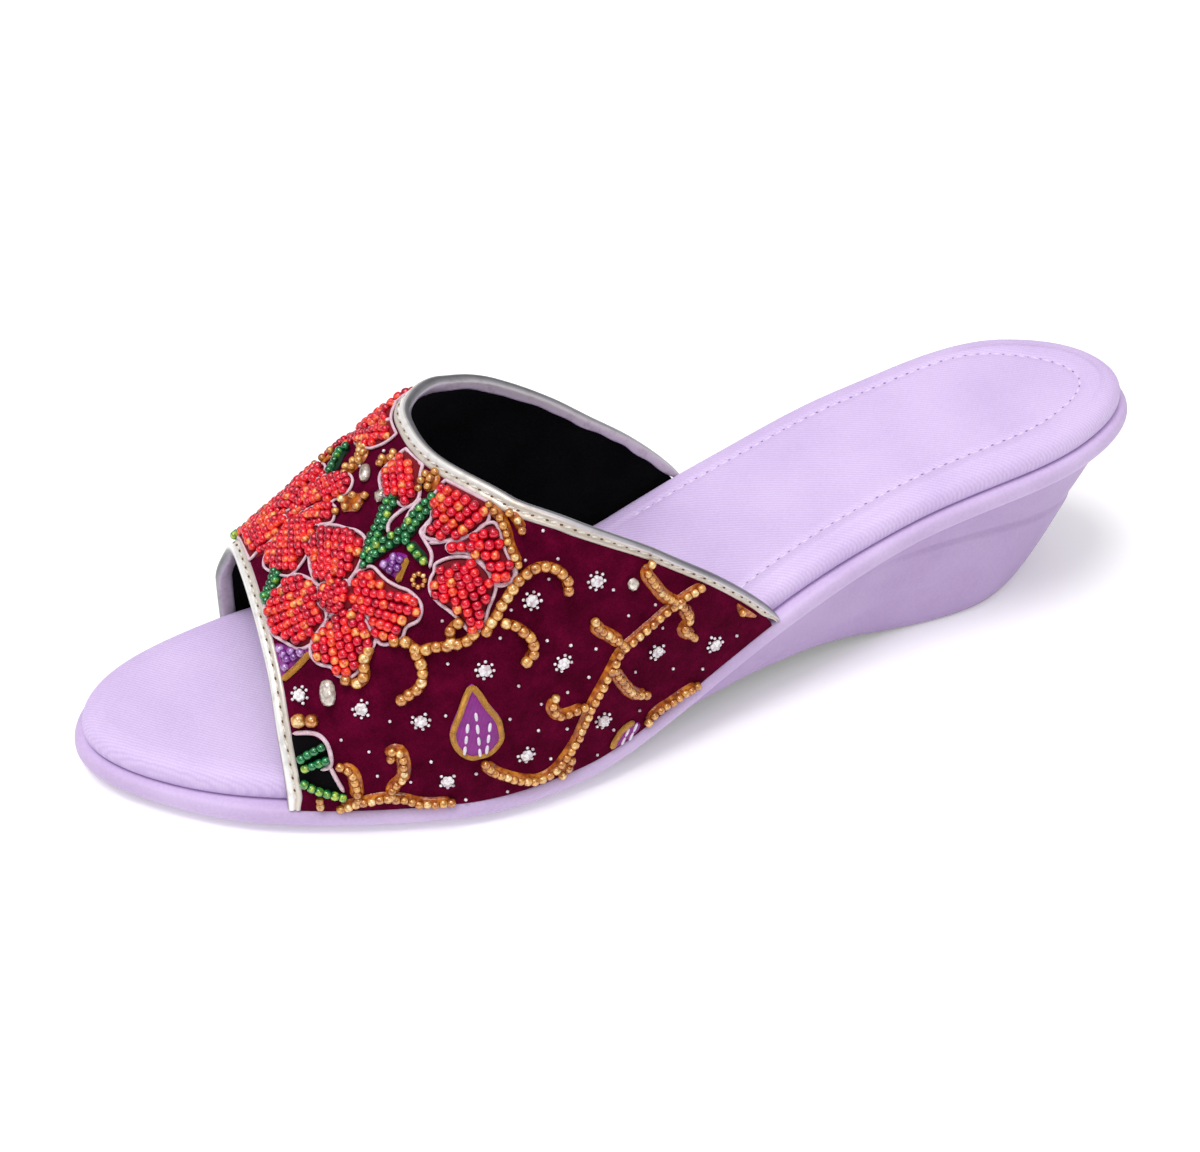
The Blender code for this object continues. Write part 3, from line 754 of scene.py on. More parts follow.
def wedge():
    """Wrapped wedge, with a soft fold where the cover bends over its shaped side."""
    first = math.acos(1.0 - 2.0 * WEDGE_FRONT)
    turns = np.linspace(first, math.pi, 111)
    rings = []
    for down in WEDGE_DOWNS:
        draw = np.interp(down, (0, 0.22, 0.45, 0.68, 0.85, 0.95, 1.0),
                         (1.2, 1.4, 1.6, 1.6, 1.3, 0.9, 0.45)) * MM
        if len(rings) == len(WEDGE_DOWNS) - 1:
            draw = -1.4 * MM    # the last ring lies inward, under the rounded foot
        rows = []
        for side, these in ((1, turns), (-1, turns[-2::-1])):
            xt, yt = plan(these, side, -WEDGE_TOP_IN)
            xf, yf = foot_plan(these, side, draw)
            along = along_of(yt)
            zt = top(yt) - PAD - RIM - WEDGE_UNDER_RIM
            zf = under(yf) + WEDGE_OVER_FOOT
            x, y, z = xt + (xf - xt) * down, yt + (yf - yt) * down, zt + (zf - zt) * down
            # dents: the fold along the shaped side, and a slanting crease ahead of it
            kink = np.interp(along, (0.66, 0.77, 0.86, 0.92, 0.97, 1.0), (0.06, 0.19, 0.27, 0.34, 0.42, 0.45))
            over = kink - down
            fold = np.where(over > 0, np.exp(-over / 0.10), np.exp(-(over / 0.022) ** 2))
            pull = (down - 0.80 + 0.9 * (along - 0.60)) / 0.05
            crease = 0.22 * MM * np.exp(-pull ** 2) * ease(along, 0.56, 0.62)
            dent = 0.6 * MM * fold * ease(along, 0.66, 0.84) + crease * (1.0 - ease(along, 0.76, 0.86))
            xi, yi = plan(these, side, -WEDGE_TOP_IN - 1 * MM)
            x, y = x + (xi - xt) / MM * dent, y + (yi - yt) / MM * dent
            rows.append(np.stack([x, y, z], -1))
        rings.append(np.concatenate(rows))
    return loft("wedge_cover", rings, [WEDGE_COVER_SHADED], pole=False)


# --------------------------------------------------------------------- the band
BAND_SHORT = 2.0 * MM           # cloth stops short of the band's edges, under the binding
FACE_DEEP = 0.9 * MM            # face cloth, down to the lining
LINING_GAP = 0.02 * MM          # between them


def edge_frame(swing, part):
    """At the band's edges: the place, the way off the edge, the way out of the
    face, and how much longer the way off is than square."""
    s = np.clip(swing, 0.01, math.pi - 0.01)
    here = band_at(edge_y(swing, part), swing)
    off = unit(here - band_at(edge_y(swing, abs(part - 0.02)), swing))
    run = unit(band_at(edge_y(s + 0.01, part), s + 0.01) - band_at(edge_y(s - 0.01, part), s - 0.01))
    lift = band_out(edge_y(swing, part), swing)
    slant = np.minimum(1.0 / np.linalg.norm(np.cross(off, run), axis=-1), 2.4)
    return here, off, lift, slant


def edge_inset(swing, part):
    """Part of the way at which the band's cloth stops short of an edge."""
    size = np.linalg.norm(band_at(edge_y(swing, 1.0), swing) - band_at(edge_y(swing, 0.0), swing), axis=-1)
    back = BAND_SHORT * edge_frame(swing, part)[3]
    return back / size if part == 0 else 1.0 - back / size


def band_grid(lift):
    """Grid of places over the whole band at one lift off its face."""
    swings = even_swings(140)
    a, b = edge_inset(swings, 0), edge_inset(swings, 1)
    parts = a[:, None] + (b - a)[:, None] * np.linspace(0.0, 1.0, 56)[None, :]
    ys = edge_y(swings[:, None], parts)
    return band_lifted(ys, np.broadcast_to(swings[:, None], ys.shape), np.broadcast_to(lift, ys.shape))


def velvet_face():
    """Outer cloth of the band, its feet a little lower than the wall's."""
    face, back = band_grid(0.0), band_grid(-FACE_DEEP)
    for grid in (face, back):
        grid[0, :, 2] -= 0.35 * MM
        grid[-1, :, 2] -= 0.35 * MM
    return shell("velvet_face", face, back, [VELVET])


def lining():
    """Inner cloth of the band, over its whole inner side."""
    return shell("band_lining", band_grid(-FACE_DEEP - LINING_GAP), band_grid(-WALL), [LINING])


FLAP_AND_PAINTED_SHADE = (
    # out from the velvet side, over the middle of the wall (parts of the binding's
    # sizes), how far toward grey at the crest, and at the feet; that grey is painted
    # shade and painted dark reflection on the fold and the edges
    (0.00, 0.60, 0.80, 0.80), (0.03, 0.80, 0.50, 0.50), (0.10, 0.93, 0.22, 0.26),
    (0.20, 0.97, 0.18, 0.30), (0.30, 0.93, 0.24, 0.36), (0.40, 0.86, 0.30, 0.38),
    (0.50, 0.93, 0.10, 0.32), (0.58, 1.00, 0.0, 0.60), (0.68, 1.02, 0.0, 0.82),
    (0.78, 0.97, 0.0, 0.86), (0.86, 0.84, 0.30, 0.90), (0.90, 0.70, 0.86, 1.0),
    (0.96, 0.50, 1.0, 1.0), (1.00, 0.10, 1.0, 1.0), (0.98, -0.42, 0.86, 0.86),
    (0.92, -0.74, 0.60, 0.60), (0.80, -0.93, 0.50, 0.50), (0.50, -0.98, 0.50, 0.50),
    (0.22, -0.97, 0.54, 0.54), (0.05, -0.86, 0.66, 0.66), (0.00, -0.55, 0.80, 0.80),
)
STITCH_PITCH = 3.1 * MM
STITCH_LINE = 0.40              # binding's stitch row, as a part of its width
NARROW = 2.5 * MM               # width of the throat's binding at its feet


def binding_width(swing, part):
    """The binding is drawn narrower toward its feet."""
    foot = np.minimum(swing, math.pi - swing)
    if part == 1:
        wide = NARROW + (BINDING_WIDE - NARROW) * ease(foot, 0.25, 0.95)
        return wide * (0.35 + 0.65 * ease(foot, -0.02, 0.05))
    return (BINDING_WIDE + 0.1 * MM) * (0.75 + 0.25 * ease(foot, -0.04, 0.10))


def binding(name, part):
    """Folded foil binding, its outer flap dimpled by the stitches; the inner edge of
    the throat's binding is a little ragged."""
    swings = even_swings(420)
    here, off, lift, slant = edge_frame(swings, part)
    run = run_of(here)
    dimple = 0.5 + 0.5 * np.cos(2 * math.pi * run / STITCH_PITCH)
    wide = binding_width(swings, part) * slant
    mid = here - lift * (0.5 * WALL) - off * wide[:, None]
    ragged = (0.16 if part == 1 else 0.0) * MM * (np.sin(run / (3.3 * MM)) + np.sin(run / (1.37 * MM) + 1.0))
    rows = []
    for p, q, *_ in FLAP_AND_PAINTED_SHADE:
        near = math.exp(-((p - STITCH_LINE) / 0.12) ** 2) if q > 0 else 0.0
        high = 0.5 * BINDING_THICK * q - 0.14 * MM * near * dimple
        back = ragged if q < -0.5 and p < 0.3 else 0.0
        rows.append(mid + off * (wide * p - back)[:, None] + lift * high[:, None])
    rings = np.stack(rows, 1)
    faces = grid_faces(len(swings), len(FLAP_AND_PAINTED_SHADE), closed=True)
    faces += [end[::-1] for end in ends_of(len(swings), len(FLAP_AND_PAINTED_SHADE))]
    # painted shade and painted dark reflection: the tint greys the fold and the edges, and the throat's
    # binding toward its feet
    crest, feet = np.array(FLAP_AND_PAINTED_SHADE)[:, 2], np.array(FLAP_AND_PAINTED_SHADE)[:, 3]
    foot = np.minimum(swings, math.pi - swings)
    down = (1.0 - ease(foot, 0.35, 1.35) if part == 1 else 0.0 * foot)[:, None]
    tint = (crest + (feet - crest) * down).ravel()
    return object_of(name, rings.reshape(-1, 3), faces, [SILVER], 60.0, tint=tint)


def binding_stitches(part):
    """Places of the stitches along a binding: place, way along, way out."""
    swings = even_swings(1600)
    here, off, lift, slant = edge_frame(swings, part)
    wide = binding_width(swings, part) * slant
    mid = here - lift * (0.5 * WALL) - off * (wide * (1 - STITCH_LINE))[:, None]
    line = mid + lift * (0.5 * BINDING_THICK * 0.84)
    return evenly(line, lift, STITCH_PITCH, 1.3 * STITCH_PITCH)


def evenly(line, out, pitch, start):
    """Places an even pitch apart along a line: place, way along, way out."""
    run = run_of(line)
    at = np.arange(start, run[-1] - 0.5 * start, pitch)
    place = at_lengths(at, run, line)
    ahead = at_lengths(at + 0.5 * MM, run, line) - place
    return place, unit(ahead), unit(at_lengths(at, run, out))


# ------------------------------------------------------- places on the beadwork
CHART_Y = np.arange(-96.0, 36.0, 1.0) * MM
CHART_SWING = np.linspace(0.0, math.pi, 361)
CHART_FACE = band_at(CHART_Y[:, None], CHART_SWING[None, :])
CHART_RUN = np.concatenate([np.zeros((len(CHART_Y), 1)),
                            np.cumsum(np.linalg.norm(np.diff(CHART_FACE, axis=1), axis=2), axis=1)], 1)
CLOTH_OFF = 3.0 * MM            # cloth laid on the band keeps off its edges,
OFF_TOE = 4.0 * MM              # and beads keep further off them: at the toe edge,
OFF_THROAT = 4.1 * MM           # and at the throat edge
BEAD_ROW = 2.05                 # rows of seed beads apart, in mm
BEAD_STEP = 1.82                # seed beads in a row apart, in mm


def swing_of(y, up, side):
    """Swing of places a length up round the band from its outer or inner foot."""
    y, up = np.broadcast_arrays(np.asarray(y, float), np.asarray(up, float))
    found = np.empty(y.size)
    for k, (yy, uu) in enumerate(zip(y.ravel(), up.ravel())):
        row = min(max((yy - CHART_Y[0]) / MM, 0.0), len(CHART_Y) - 1.001)
        i = int(row)
        line = CHART_RUN[i] + (CHART_RUN[i + 1] - CHART_RUN[i]) * (row - i)
        found[k] = np.interp(uu if side > 0 else line[-1] - uu, line, CHART_SWING)
    return found.reshape(y.shape)


def charted(points, side):
    """Places on the band's face and ways out, from rows of (along, up) in mm."""
    points = np.asarray(points, float) * MM
    swing = swing_of(points[:, 0], points[:, 1], side)
    return band_at(points[:, 0], swing), band_out(points[:, 0], swing)


def on_band(points, side, short=3.0):
    """Which charted places keep a length in mm off the band's front and rear edges."""
    points = np.asarray(points, float) * MM
    y, swing = points[:, 0], swing_of(points[:, 0], points[:, 1], side)
    return (y > edge_y(swing, 0.0) + short * MM) & (y < edge_y(swing, 1.0) - short * MM)


def patch(base, tip, side):
    """Flat cloth laid on the band from a base to a tip, charted in mm.  Gives its
    length and three functions: from charted places to flat ones (u, v); from flat
    places and a lift to places and ways out; and from flat places to the place
    along the shoe and the swing round the band."""
    base, tip = np.asarray(base, float) * MM, np.asarray(tip, float) * MM
    mid, e = 0.5 * (base + tip), 1.0 * MM

    def spot(y, up):
        return band_at(y, swing_of(y, up, side))
    jac = np.stack([(spot(mid[0] + e, mid[1]) - spot(mid[0] - e, mid[1])) / (2 * e),
                    (spot(mid[0], mid[1] + e) - spot(mid[0], mid[1] - e)) / (2 * e)], 1)
    way = jac @ (tip - base)
    length = float(np.linalg.norm(way))
    ahead = way / length
    out = band_out(mid[0], swing_of(mid[0], mid[1], side))
    across = side * np.cross(out, ahead)
    back = np.linalg.pinv(jac)

    def flat(points):
        way_to = (np.asarray(points, float) * MM - mid) @ jac.T
        return np.stack([way_to @ ahead + 0.5 * length, way_to @ across], -1)

    def found(u, v):
        at = mid + ((u - 0.5 * length)[..., None] * ahead + v[..., None] * across) @ back.T
        return at[..., 0], swing_of(at[..., 0], np.maximum(at[..., 1], 0.0), side)

    def lay(u, v, lift):
        u, v, lift = np.broadcast_arrays(np.asarray(u, float), np.asarray(v, float), np.asarray(lift, float))
        y, swing = found(u, v)
        y = np.clip(y, edge_y(swing, 0.0) + CLOTH_OFF, edge_y(swing, 1.0) - CLOTH_OFF)
        return band_lifted(y, swing, lift), band_out(y, swing)
    return length, flat, lay, found


def within(spots, edge):
    """How far each flat spot lies inside a closed edge; less than 0 outside it."""
    a, b = edge, np.roll(edge, -1, 0)
    way, from_a = b - a, spots[:, None] - a[None]
    part = np.clip((from_a * way).sum(-1) / np.maximum((way * way).sum(-1), 1e-18), 0.0, 1.0)
    gap = np.linalg.norm(from_a - part[..., None] * way, axis=-1).min(1)
    x, y = spots[:, :1], spots[:, 1:]
    crosses = ((a[:, 1] > y) != (b[:, 1] > y)) & (
        x < way[:, 0] * (y - a[:, 1]) / np.where(way[:, 1] == 0.0, 1e-18, way[:, 1]) + a[:, 0])
    return np.where(crosses.sum(1) % 2 == 1, gap, -gap)


class Motif:
    """Stuffed motif on the band: a root its rows start from, a tip they run to,
    and its charted edge."""

    def __init__(self, side, root, tip, edge, high):
        self.length, flat, self.lay, self.found = patch(root, tip, side)
        self.edge = closed_loop(flat(edge), 0.5 * MM)
        self.high = high
        self.middle = self.edge.mean(0)
        reach = within(self.middle + (self.edge - self.middle) * 0.5, self.edge).max()
        self.deep = max(within(self.middle[None], self.edge)[0], reach, 0.8 * MM)

    def height(self, u, v):
        """Height of the stuffing over the cloth."""
        spots = np.stack([np.ravel(u), np.ravel(v)], -1)
        into = np.clip(within(spots, self.edge) / min(self.deep, 3.2 * MM), 0.0, 1.0).reshape(np.shape(u))
        return self.high * np.sqrt(np.maximum(1 - (1 - into) ** 2, 0.0))

    def pad(self):
        """Closed mesh of the stuffing: places and faces."""
        rings = []
        for part, lift in ((0.02, -0.3), (1.0, -0.3), (1.0, 0.05), (0.94, None), (0.84, None), (0.7, None),
                           (0.52, None), (0.3, None), (0.02, None)):
            u, v = (self.middle + (self.edge - self.middle) * part).T
            high = self.height(u, v) + 0.05 * MM if lift is None else np.full(len(u), lift * MM)
            rings.append(self.lay(u, v, high)[0])
        count = len(self.edge)
        faces = grid_faces(len(rings), count, closed=True) + ends_of(len(rings), count)
        return np.concatenate(rings), faces

    def beads(self, grow=1.0, fan=0.3, part=(-9.0, 9.0), margin=0.4, sunk=0.6):
        """Beads in rows that spread from the root, and then in the gaps: place, way
        along, way out, size.  grow: size of the beads; fan: how much the rows
        spread; part: the stretch of the length that is covered; margin: left bare
        inside the edge, and sunk: how high the beads sit, in mm."""
        row, step = BEAD_ROW * grow * MM, BEAD_STEP * grow * MM
        low, high = self.edge.min(0), self.edge.max(0)
        centre = -self.length * (1.0 - fan) / fan
        middle_u = 0.35 * low[0] + 0.65 * high[0] - centre
        spots = []
        count = int(math.ceil(max(abs(low[1]), abs(high[1])) / row)) + 2
        for k in sorted(range(-count, count + 1), key=abs):
            angle = k * row / middle_u
            for u in np.arange(low[0] + 0.5 * (k % 2) * step, high[0] + step, step):
                spots.append((u, math.tan(angle) * (u - centre)))
        rows = len(spots)
        close = [np.arange(low[k], high[k], 0.42 * step) for k in range(2)]
        grid = np.stack(np.meshgrid(*close), -1).reshape(-1, 2)
        spots = np.concatenate([np.array(spots), CHANCE.permutation(grid)])
        inside = within(spots, self.edge) > margin * MM
        inside &= (spots[:, 0] / self.length >= part[0]) & (spots[:, 0] / self.length <= part[1])
        y, swing = self.found(spots[:, 0], spots[:, 1])
        inside &= (y > edge_y(swing, 0.0) + OFF_TOE) & (y < edge_y(swing, 1.0) - OFF_THROAT)
        kept = np.zeros((0, 2))
        for k in np.nonzero(inside)[0]:
            apart = (0.84 if k < rows else 0.90) * step
            if not len(kept) or ((kept - spots[k]) ** 2).sum(1).min() > apart ** 2:
                kept = np.vstack([kept, spots[k]])
        u, v = kept.T
        u, v = u + CHANCE.normal(0.0, 0.05 * MM, len(u)), v + CHANCE.normal(0.0, 0.05 * MM, len(v))
        over = CHANCE.uniform(-0.10, 0.14, len(u)) * MM + (sunk + 0.9 * (grow - 1.0)) * MM
        place, out = self.lay(u, v, self.height(u, v) + over)
        angle = np.arctan2(v, u - centre)
        on_u, on_v = u + 0.4 * MM * np.cos(angle), v + 0.4 * MM * np.sin(angle)
        after = self.lay(on_u, on_v, self.height(on_u, on_v) + over)[0]
        ahead = unit(unit(after - place) + CHANCE.normal(0.0, 0.08, place.shape))
        return sized((place, ahead, out), 1.07 * grow)

    def dome(self, grow):
        """A bead at the middle of a round motif and two rings of them round it."""
        spots, ways = [self.middle], [0.0]
        for count, radius in ((6, 1.75), (11, 3.1)):
            for a in 2 * math.pi * np.arange(count) / count + 0.3:
                spots.append(self.middle + radius * grow * MM * np.array([math.cos(a), math.sin(a)]))
                ways.append(a + 0.5 * math.pi)
        u, v = np.array(spots).T
        high = self.height(u, v) + 0.5 * MM
        place, out = self.lay(u, v, high)
        after = self.lay(u + 0.3 * MM * np.cos(ways), v + 0.3 * MM * np.sin(ways), high)[0]
        return sized((place, unit(after - place), out), grow)

    def cord(self, lift, out):
        """Path of a cord round the edge; out: beyond the edge, in mm."""
        way = self.edge - self.middle
        spots = self.edge + way * (out * MM / np.linalg.norm(way, axis=1))[:, None]
        spots = np.concatenate([spots, spots[:2]])
        return self.lay(spots[:, 0], spots[:, 1], np.full(len(spots), lift))


def sized(row, size):
    """A row of places, ways along and ways out, with the size of its beads."""
    return (*row, np.full(len(row[0]), size))


def clear_of(beads, others, gap):
    """The beads of one set that keep a gap from every bead of the others."""
    taken = np.concatenate([other[0] for other in others])
    near = np.array([((taken - spot) ** 2).sum(1).min() for spot in beads[0]])
    return tuple(part[near > gap ** 2] for part in beads)


def pad_mesh(name, motifs, materials):
    """One mesh of the stuffed pads of several motifs."""
    vertices, faces = [], []
    for motif in motifs:
        places, sides = motif.pad()
        faces += [tuple(len(vertices) + i for i in face) for face in sides]
        vertices.extend(places)
    return object_of(name, vertices, faces, materials, 80.0)


# ---------------------------------------------------------------- what is sewn on
BARREL = (
    # along the bead, out from its axis, as parts of its half length and half width
    (-0.82, 0.0), (-0.97, 0.42), (-0.76, 0.80), (-0.27, 0.99), (0.27, 0.99), (0.76, 0.80), (0.97, 0.42),
    (0.82, 0.0),
)


def turned_bead(name, profile, around):
    """Bead turned about its own X from a profile of (along, across, up) in metres."""
    turns = 2 * math.pi * np.arange(around) / around
    vertices = [(x, across * math.cos(a), up * math.sin(a)) for x, across, up in profile for a in turns]
    faces = [tuple(dict.fromkeys(f)) for f in grid_faces(len(profile), around, closed=True)]
    return object_of(name, vertices, faces, [], 80.0)


def barrel(name, long, wide):
    """Small barrel bead with dimpled ends, its hole along its own X; sizes in mm."""
    half, r = 0.5 * long * MM, 0.5 * wide * MM
    return turned_bead(name, [(x * half, q * r, q * r) for x, q in BARREL], 10)


def grain_of(name, long, wide, high, around, rows):
    """Small rounded grain, its length along its own X; sizes in mm."""
    profile = [(-0.5 * long * MM * math.cos(t), 0.5 * wide * MM * math.sin(t) ** 0.7,
                0.5 * high * MM * math.sin(t) ** 0.7) for t in np.linspace(0.0, math.pi, rows)]
    return turned_bead(name, profile, around)


SIZE_SPREAD = 0.06              # how much bigger or smaller a bead may be


def sewing_tree():
    """Sews a copy of one bead at each point, lying along its own way."""
    tree = bpy.data.node_groups.new("sew_on", "GeometryNodeTree")
    for label, kind, usual in (("Points", "Geometry", None), ("Bead", "Object", None),
                               ("Size Spread", "Float", SIZE_SPREAD), ("Seed", "Int", 1),
                               ("Material", "Material", None)):
        made = tree.interface.new_socket(label, in_out="INPUT", socket_type="NodeSocket" + kind)
        if usual is not None:
            made.default_value = usual
    tree.interface.new_socket("Beads", in_out="OUTPUT", socket_type="NodeSocketGeometry")
    given = tree.nodes.new("NodeGroupInput").outputs
    result = tree.nodes.new("NodeGroupOutput").inputs
    along, out, size = (
        node(tree, "GeometryNodeInputNamedAttribute", {"data_type": kind}, Name=label).outputs["Attribute"]
        for label, kind in (("along", "FLOAT_VECTOR"), ("out", "FLOAT_VECTOR"), ("size", "FLOAT")))
    bead = node(tree, "GeometryNodeObjectInfo", Object=given["Bead"]).outputs["Geometry"]
    turned = node(tree, "FunctionNodeAxesToRotation", {"primary_axis": "X", "secondary_axis": "Z"},
                  Primary_Axis=along, Secondary_Axis=out).outputs["Rotation"]
    spread = node(tree, "FunctionNodeRandomValue", {"data_type": "FLOAT"}, Seed=given["Seed"])
    for place, kind in ((2, "SUBTRACT"), (3, "ADD")):
        feed(tree, spread.inputs[place], math_node(tree, kind, 1.0, given["Size Spread"]))
    scale = node(tree, "ShaderNodeVectorMath", {"operation": "SCALE"}, Vector=size, Scale=spread.outputs[1])
    beads = node(tree, "GeometryNodeInstanceOnPoints", Points=given["Points"], Instance=bead, Rotation=turned,
                 Scale=scale.outputs["Vector"]).outputs["Instances"]
    real = node(tree, "GeometryNodeRealizeInstances", Geometry=beads).outputs["Geometry"]
    painted = node(tree, "GeometryNodeSetMaterial", Geometry=real, Material=given["Material"])
    tree.links.new(painted.outputs["Geometry"], result["Beads"])
    return tree


SEW_ON = sewing_tree()
CHANCE = np.random.default_rng(7)


def sewn(name, bead, places, material, seed, tints=None, sizes=1.0):
    """One mesh of beads sewn at places, each (place, way along, way out), and a
    size too where sizes differ from bead to bead."""
    place, ahead, out = (np.concatenate([row[k] for row in places]) for k in range(3))
    if len(places[0]) > 3:
        sizes = np.concatenate([row[3] for row in places])
    mesh = bpy.data.meshes.new(name + "_places")
    mesh.from_pydata([tuple(p) for p in place], [], [])
    tint = CHANCE.random(len(place)) if tints is None else np.asarray(tints)
    sizes = np.broadcast_to(sizes, len(place))
    for label, values in (("along", ahead), ("out", out), ("size", sizes), ("tint", tint)):
        point_layer(mesh, label, values)
    held = placed(name + "_places", mesh)
    modifier = held.modifiers.new("sew_on", "NODES")
    modifier.node_group = SEW_ON
    names = {item.name: item.identifier for item in SEW_ON.interface.items_tree if item.in_out == "INPUT"}
    modifier[names["Bead"]] = bead
    modifier[names["Size Spread"]] = SIZE_SPREAD
    modifier[names["Seed"]] = seed
    modifier[names["Material"]] = material
    graph = bpy.context.evaluated_depsgraph_get()
    beads = bpy.data.meshes.new_from_object(held.evaluated_get(graph), preserve_all_data_layers=True,
                                            depsgraph=graph)
    for label in ("along", "out", "size"):
        if label in beads.attributes:
            beads.attributes.remove(beads.attributes[label])
    beads.name = name
    beads.shade_smooth()
    made = placed(name, beads)
    bpy.data.objects.remove(held, do_unlink=True)
    return made


SEED_BEAD = barrel("seed_bead", 1.92, 2.06)
VINE_BEAD = barrel("vine_bead", 1.98, 2.1)
DOT = grain_of("dot", 0.76, 0.76, 0.7, 6, 4)
TINY_BEAD = grain_of("tiny_bead", 0.85, 0.85, 0.75, 6, 5)
OVAL_BEAD = grain_of("oval_bead", 4.4, 2.8, 2.3, 12, 7)
SQUARE_BEAD = grain_of("square_bead", 2.5, 3.0, 2.2, 4, 5)
DASH = grain_of("dash", 1.9, 0.62, 0.5, 6, 5)
HOLE = grain_of("hole", 1.0, 0.66, 0.26, 8, 4)
BEADS = (SEED_BEAD, VINE_BEAD, DOT, TINY_BEAD, OVAL_BEAD, SQUARE_BEAD, DASH, HOLE)

# ------------------------------------------------------------ chart of the beadwork
# Rows of (along the shoe, up round the band from its own foot) in mm.  A motif is
# its root, its tip and its edge.  Many places on the outer side were worked out by a
# separate program and rounded to 0.5 mm, and weren't charted by hand.
OUTER, INNER = SIDES = (1, -1)
VINES_OUTER = (
    ((-59, 39.5), (-57, 39.5), (-55, 38), (-52.5, 38.5), (-48, 39), (-45, 40), (-44, 41)),
    ((-41.5, 41.5), (-39, 44.5), (-37, 47), (-34.5, 50), (-31.5, 52), (-28.5, 52.5), (-25.5, 51),
     (-24, 48.5), (-24, 46)),
    ((-37.5, 42.5), (-35, 41), (-33, 38.5), (-32.5, 35.5), (-34.5, 33.5)),
    ((-55.5, 37), (-55, 34.5), (-55.5, 31.5), (-57, 29.5), (-60, 27.5)),
    ((-48.5, 39.5), (-48.5, 41.5), (-47.5, 43), (-46.5, 43.5)),
    ((-69.5, 31), (-67.5, 30.5), (-66, 32), (-65.5, 35), (-64, 37.5)),
)
VINES_BOTH = (
    ((-75, 1), (-72.5, 2), (-69, 3), (-66, 3.5), (-62.5, 3), (-59, 1.5), (-55.5, 1), (-52.5, 1)),
    ((-71.5, 3.5), (-71.5, 7.5), (-72, 10.5), (-74, 12)),
    ((-64.5, 4), (-64, 6.5), (-62, 9), (-61.5, 12), (-62, 15.5), (-63.5, 15.5), (-64, 14)),
    ((-45, 10.5), (-43.5, 8), (-40.5, 5.5), (-36.5, 3), (-33, 2), (-29.5, 3), (-26.5, 6), (-24, 9.5),
     (-21.5, 14.5), (-19.5, 18), (-16, 22.5), (-13.5, 25.5), (-10, 26.5), (-5, 27), (-0.5, 27.5), (4, 27),
     (8, 26)),
    ((-26, 4), (-26.5, 2), (-28, 0.5)), ((-29, 22.5), (-29.5, 20), (-28, 17.5), (-25, 17), (-22.5, 17)),
    ((-15, 22), (-12.5, 16), (-10, 12), (-7.5, 10)), ((-19, 36.5), (-18, 34), (-15.5, 31), (-13, 27.5)),
    ((-5, 41), (-6, 39.5), (-4.5, 36), (-2, 31), (1, 27)), ((2, 25.5), (3.5, 21), (2, 19.5), (4.5, 15.5)),
    ((-7, 1.5), (-4.5, 2.5), (-1.5, 2), (2.5, 1.5), (5.5, 0.5)),
)
VINES_INNER = (
    ((-57, 24), (-54.5, 27), (-51, 31), (-47.5, 33.5), (-44, 34.5)),
    ((-41.5, 36), (-38.5, 40), (-35.5, 44), (-31.5, 46.5), (-28, 46.5), (-25, 44.5), (-24, 41)),
)
MAIN_PETALS = (
    ((-67.5, 52.0), (-64, 68), (
        (-69.5, 53), (-70, 57), (-69.5, 61), (-69, 64), (-67, 66.5), (-65, 68), (-63.5, 67.5), (-62, 66),
        (-60.5, 65), (-59.5, 63), (-60, 61), (-61.5, 57.5), (-63.5, 54.5), (-66, 52.3))),
    ((-70.5, 49.5), (-81, 46), (
        (-70, 51.5), (-72, 55), (-74, 56), (-75.5, 54.5), (-78, 52), (-80, 49.5), (-81, 47), (-80.5, 42),
        (-79, 40), (-77, 38), (-75, 38.5), (-73, 40.5), (-70.5, 44.5), (-70.3, 48))),
    ((-67.8, 47), (-69, 32), (
        (-70, 44), (-67.5, 46), (-66, 46), (-64, 45.5), (-63, 44), (-62.5, 41), (-63.5, 38.5),
        (-65.5, 36), (-67, 33.5), (-69, 32), (-71, 32.5), (-71.5, 34), (-73.5, 34.5), (-74.5, 36.5),
        (-73.5, 39.5), (-71.5, 42))),
    ((-65.5, 49), (-54, 46), (
        (-64.5, 50.5), (-63.5, 53.5), (-61.5, 55), (-59.5, 55.5), (-58, 52.5), (-56.5, 51), (-54.5, 50),
        (-53, 47.5), (-54, 44.5), (-56.5, 43), (-57.5, 41), (-59, 40), (-61.5, 39.5), (-62.5, 42),
        (-63.5, 45.5), (-65, 47))),
)
CREST_PETALS = (
    ((-71, 73), (-74.5, 57), (
        (-72, 71.5), (-70.5, 73), (-68, 73), (-67, 70.5), (-66.5, 68.5), (-67.5, 66), (-68.5, 64),
        (-70, 62), (-71, 60.5), (-73, 58), (-74.5, 57), (-76.5, 58.5), (-78, 61), (-77, 64.5), (-75, 67.5))),
    ((-72, 75), (-82, 70), (
        (-77.5, 79.5), (-76, 81), (-73.5, 83), (-72.5, 78), (-71.5, 74.5), (-71.5, 72.5), (-74, 70),
        (-76.5, 68), (-78.5, 66.5), (-80.5, 64.5), (-82, 66), (-82, 71), (-79.5, 77.5))),
    ((-69, 77.5), (-58, 82), (
        (-68, 79.5), (-65.5, 82.5), (-63, 84), (-61.5, 84), (-59.5, 83.5), (-58, 82), (-58, 79.5),
        (-59.5, 77), (-62, 76), (-63, 75.5), (-66.5, 75.5), (-68.5, 77))),
    ((-69.5, 74), (-63, 71), (
        (-68.5, 74.3), (-66.5, 75), (-63.5, 75), (-62.5, 73), (-63, 71.5), (-64, 69.5), (-66, 70),
        (-68, 71.5))),
    ((-71, 78.5), (-62, 91), (
        (-73.5, 83), (-70.5, 85.5), (-67, 88.5), (-64.5, 91), (-63, 92), (-61.5, 90), (-61.5, 87),
        (-63, 84.5), (-65.5, 83), (-68, 80), (-70, 77.5), (-72.5, 78.5))),
)
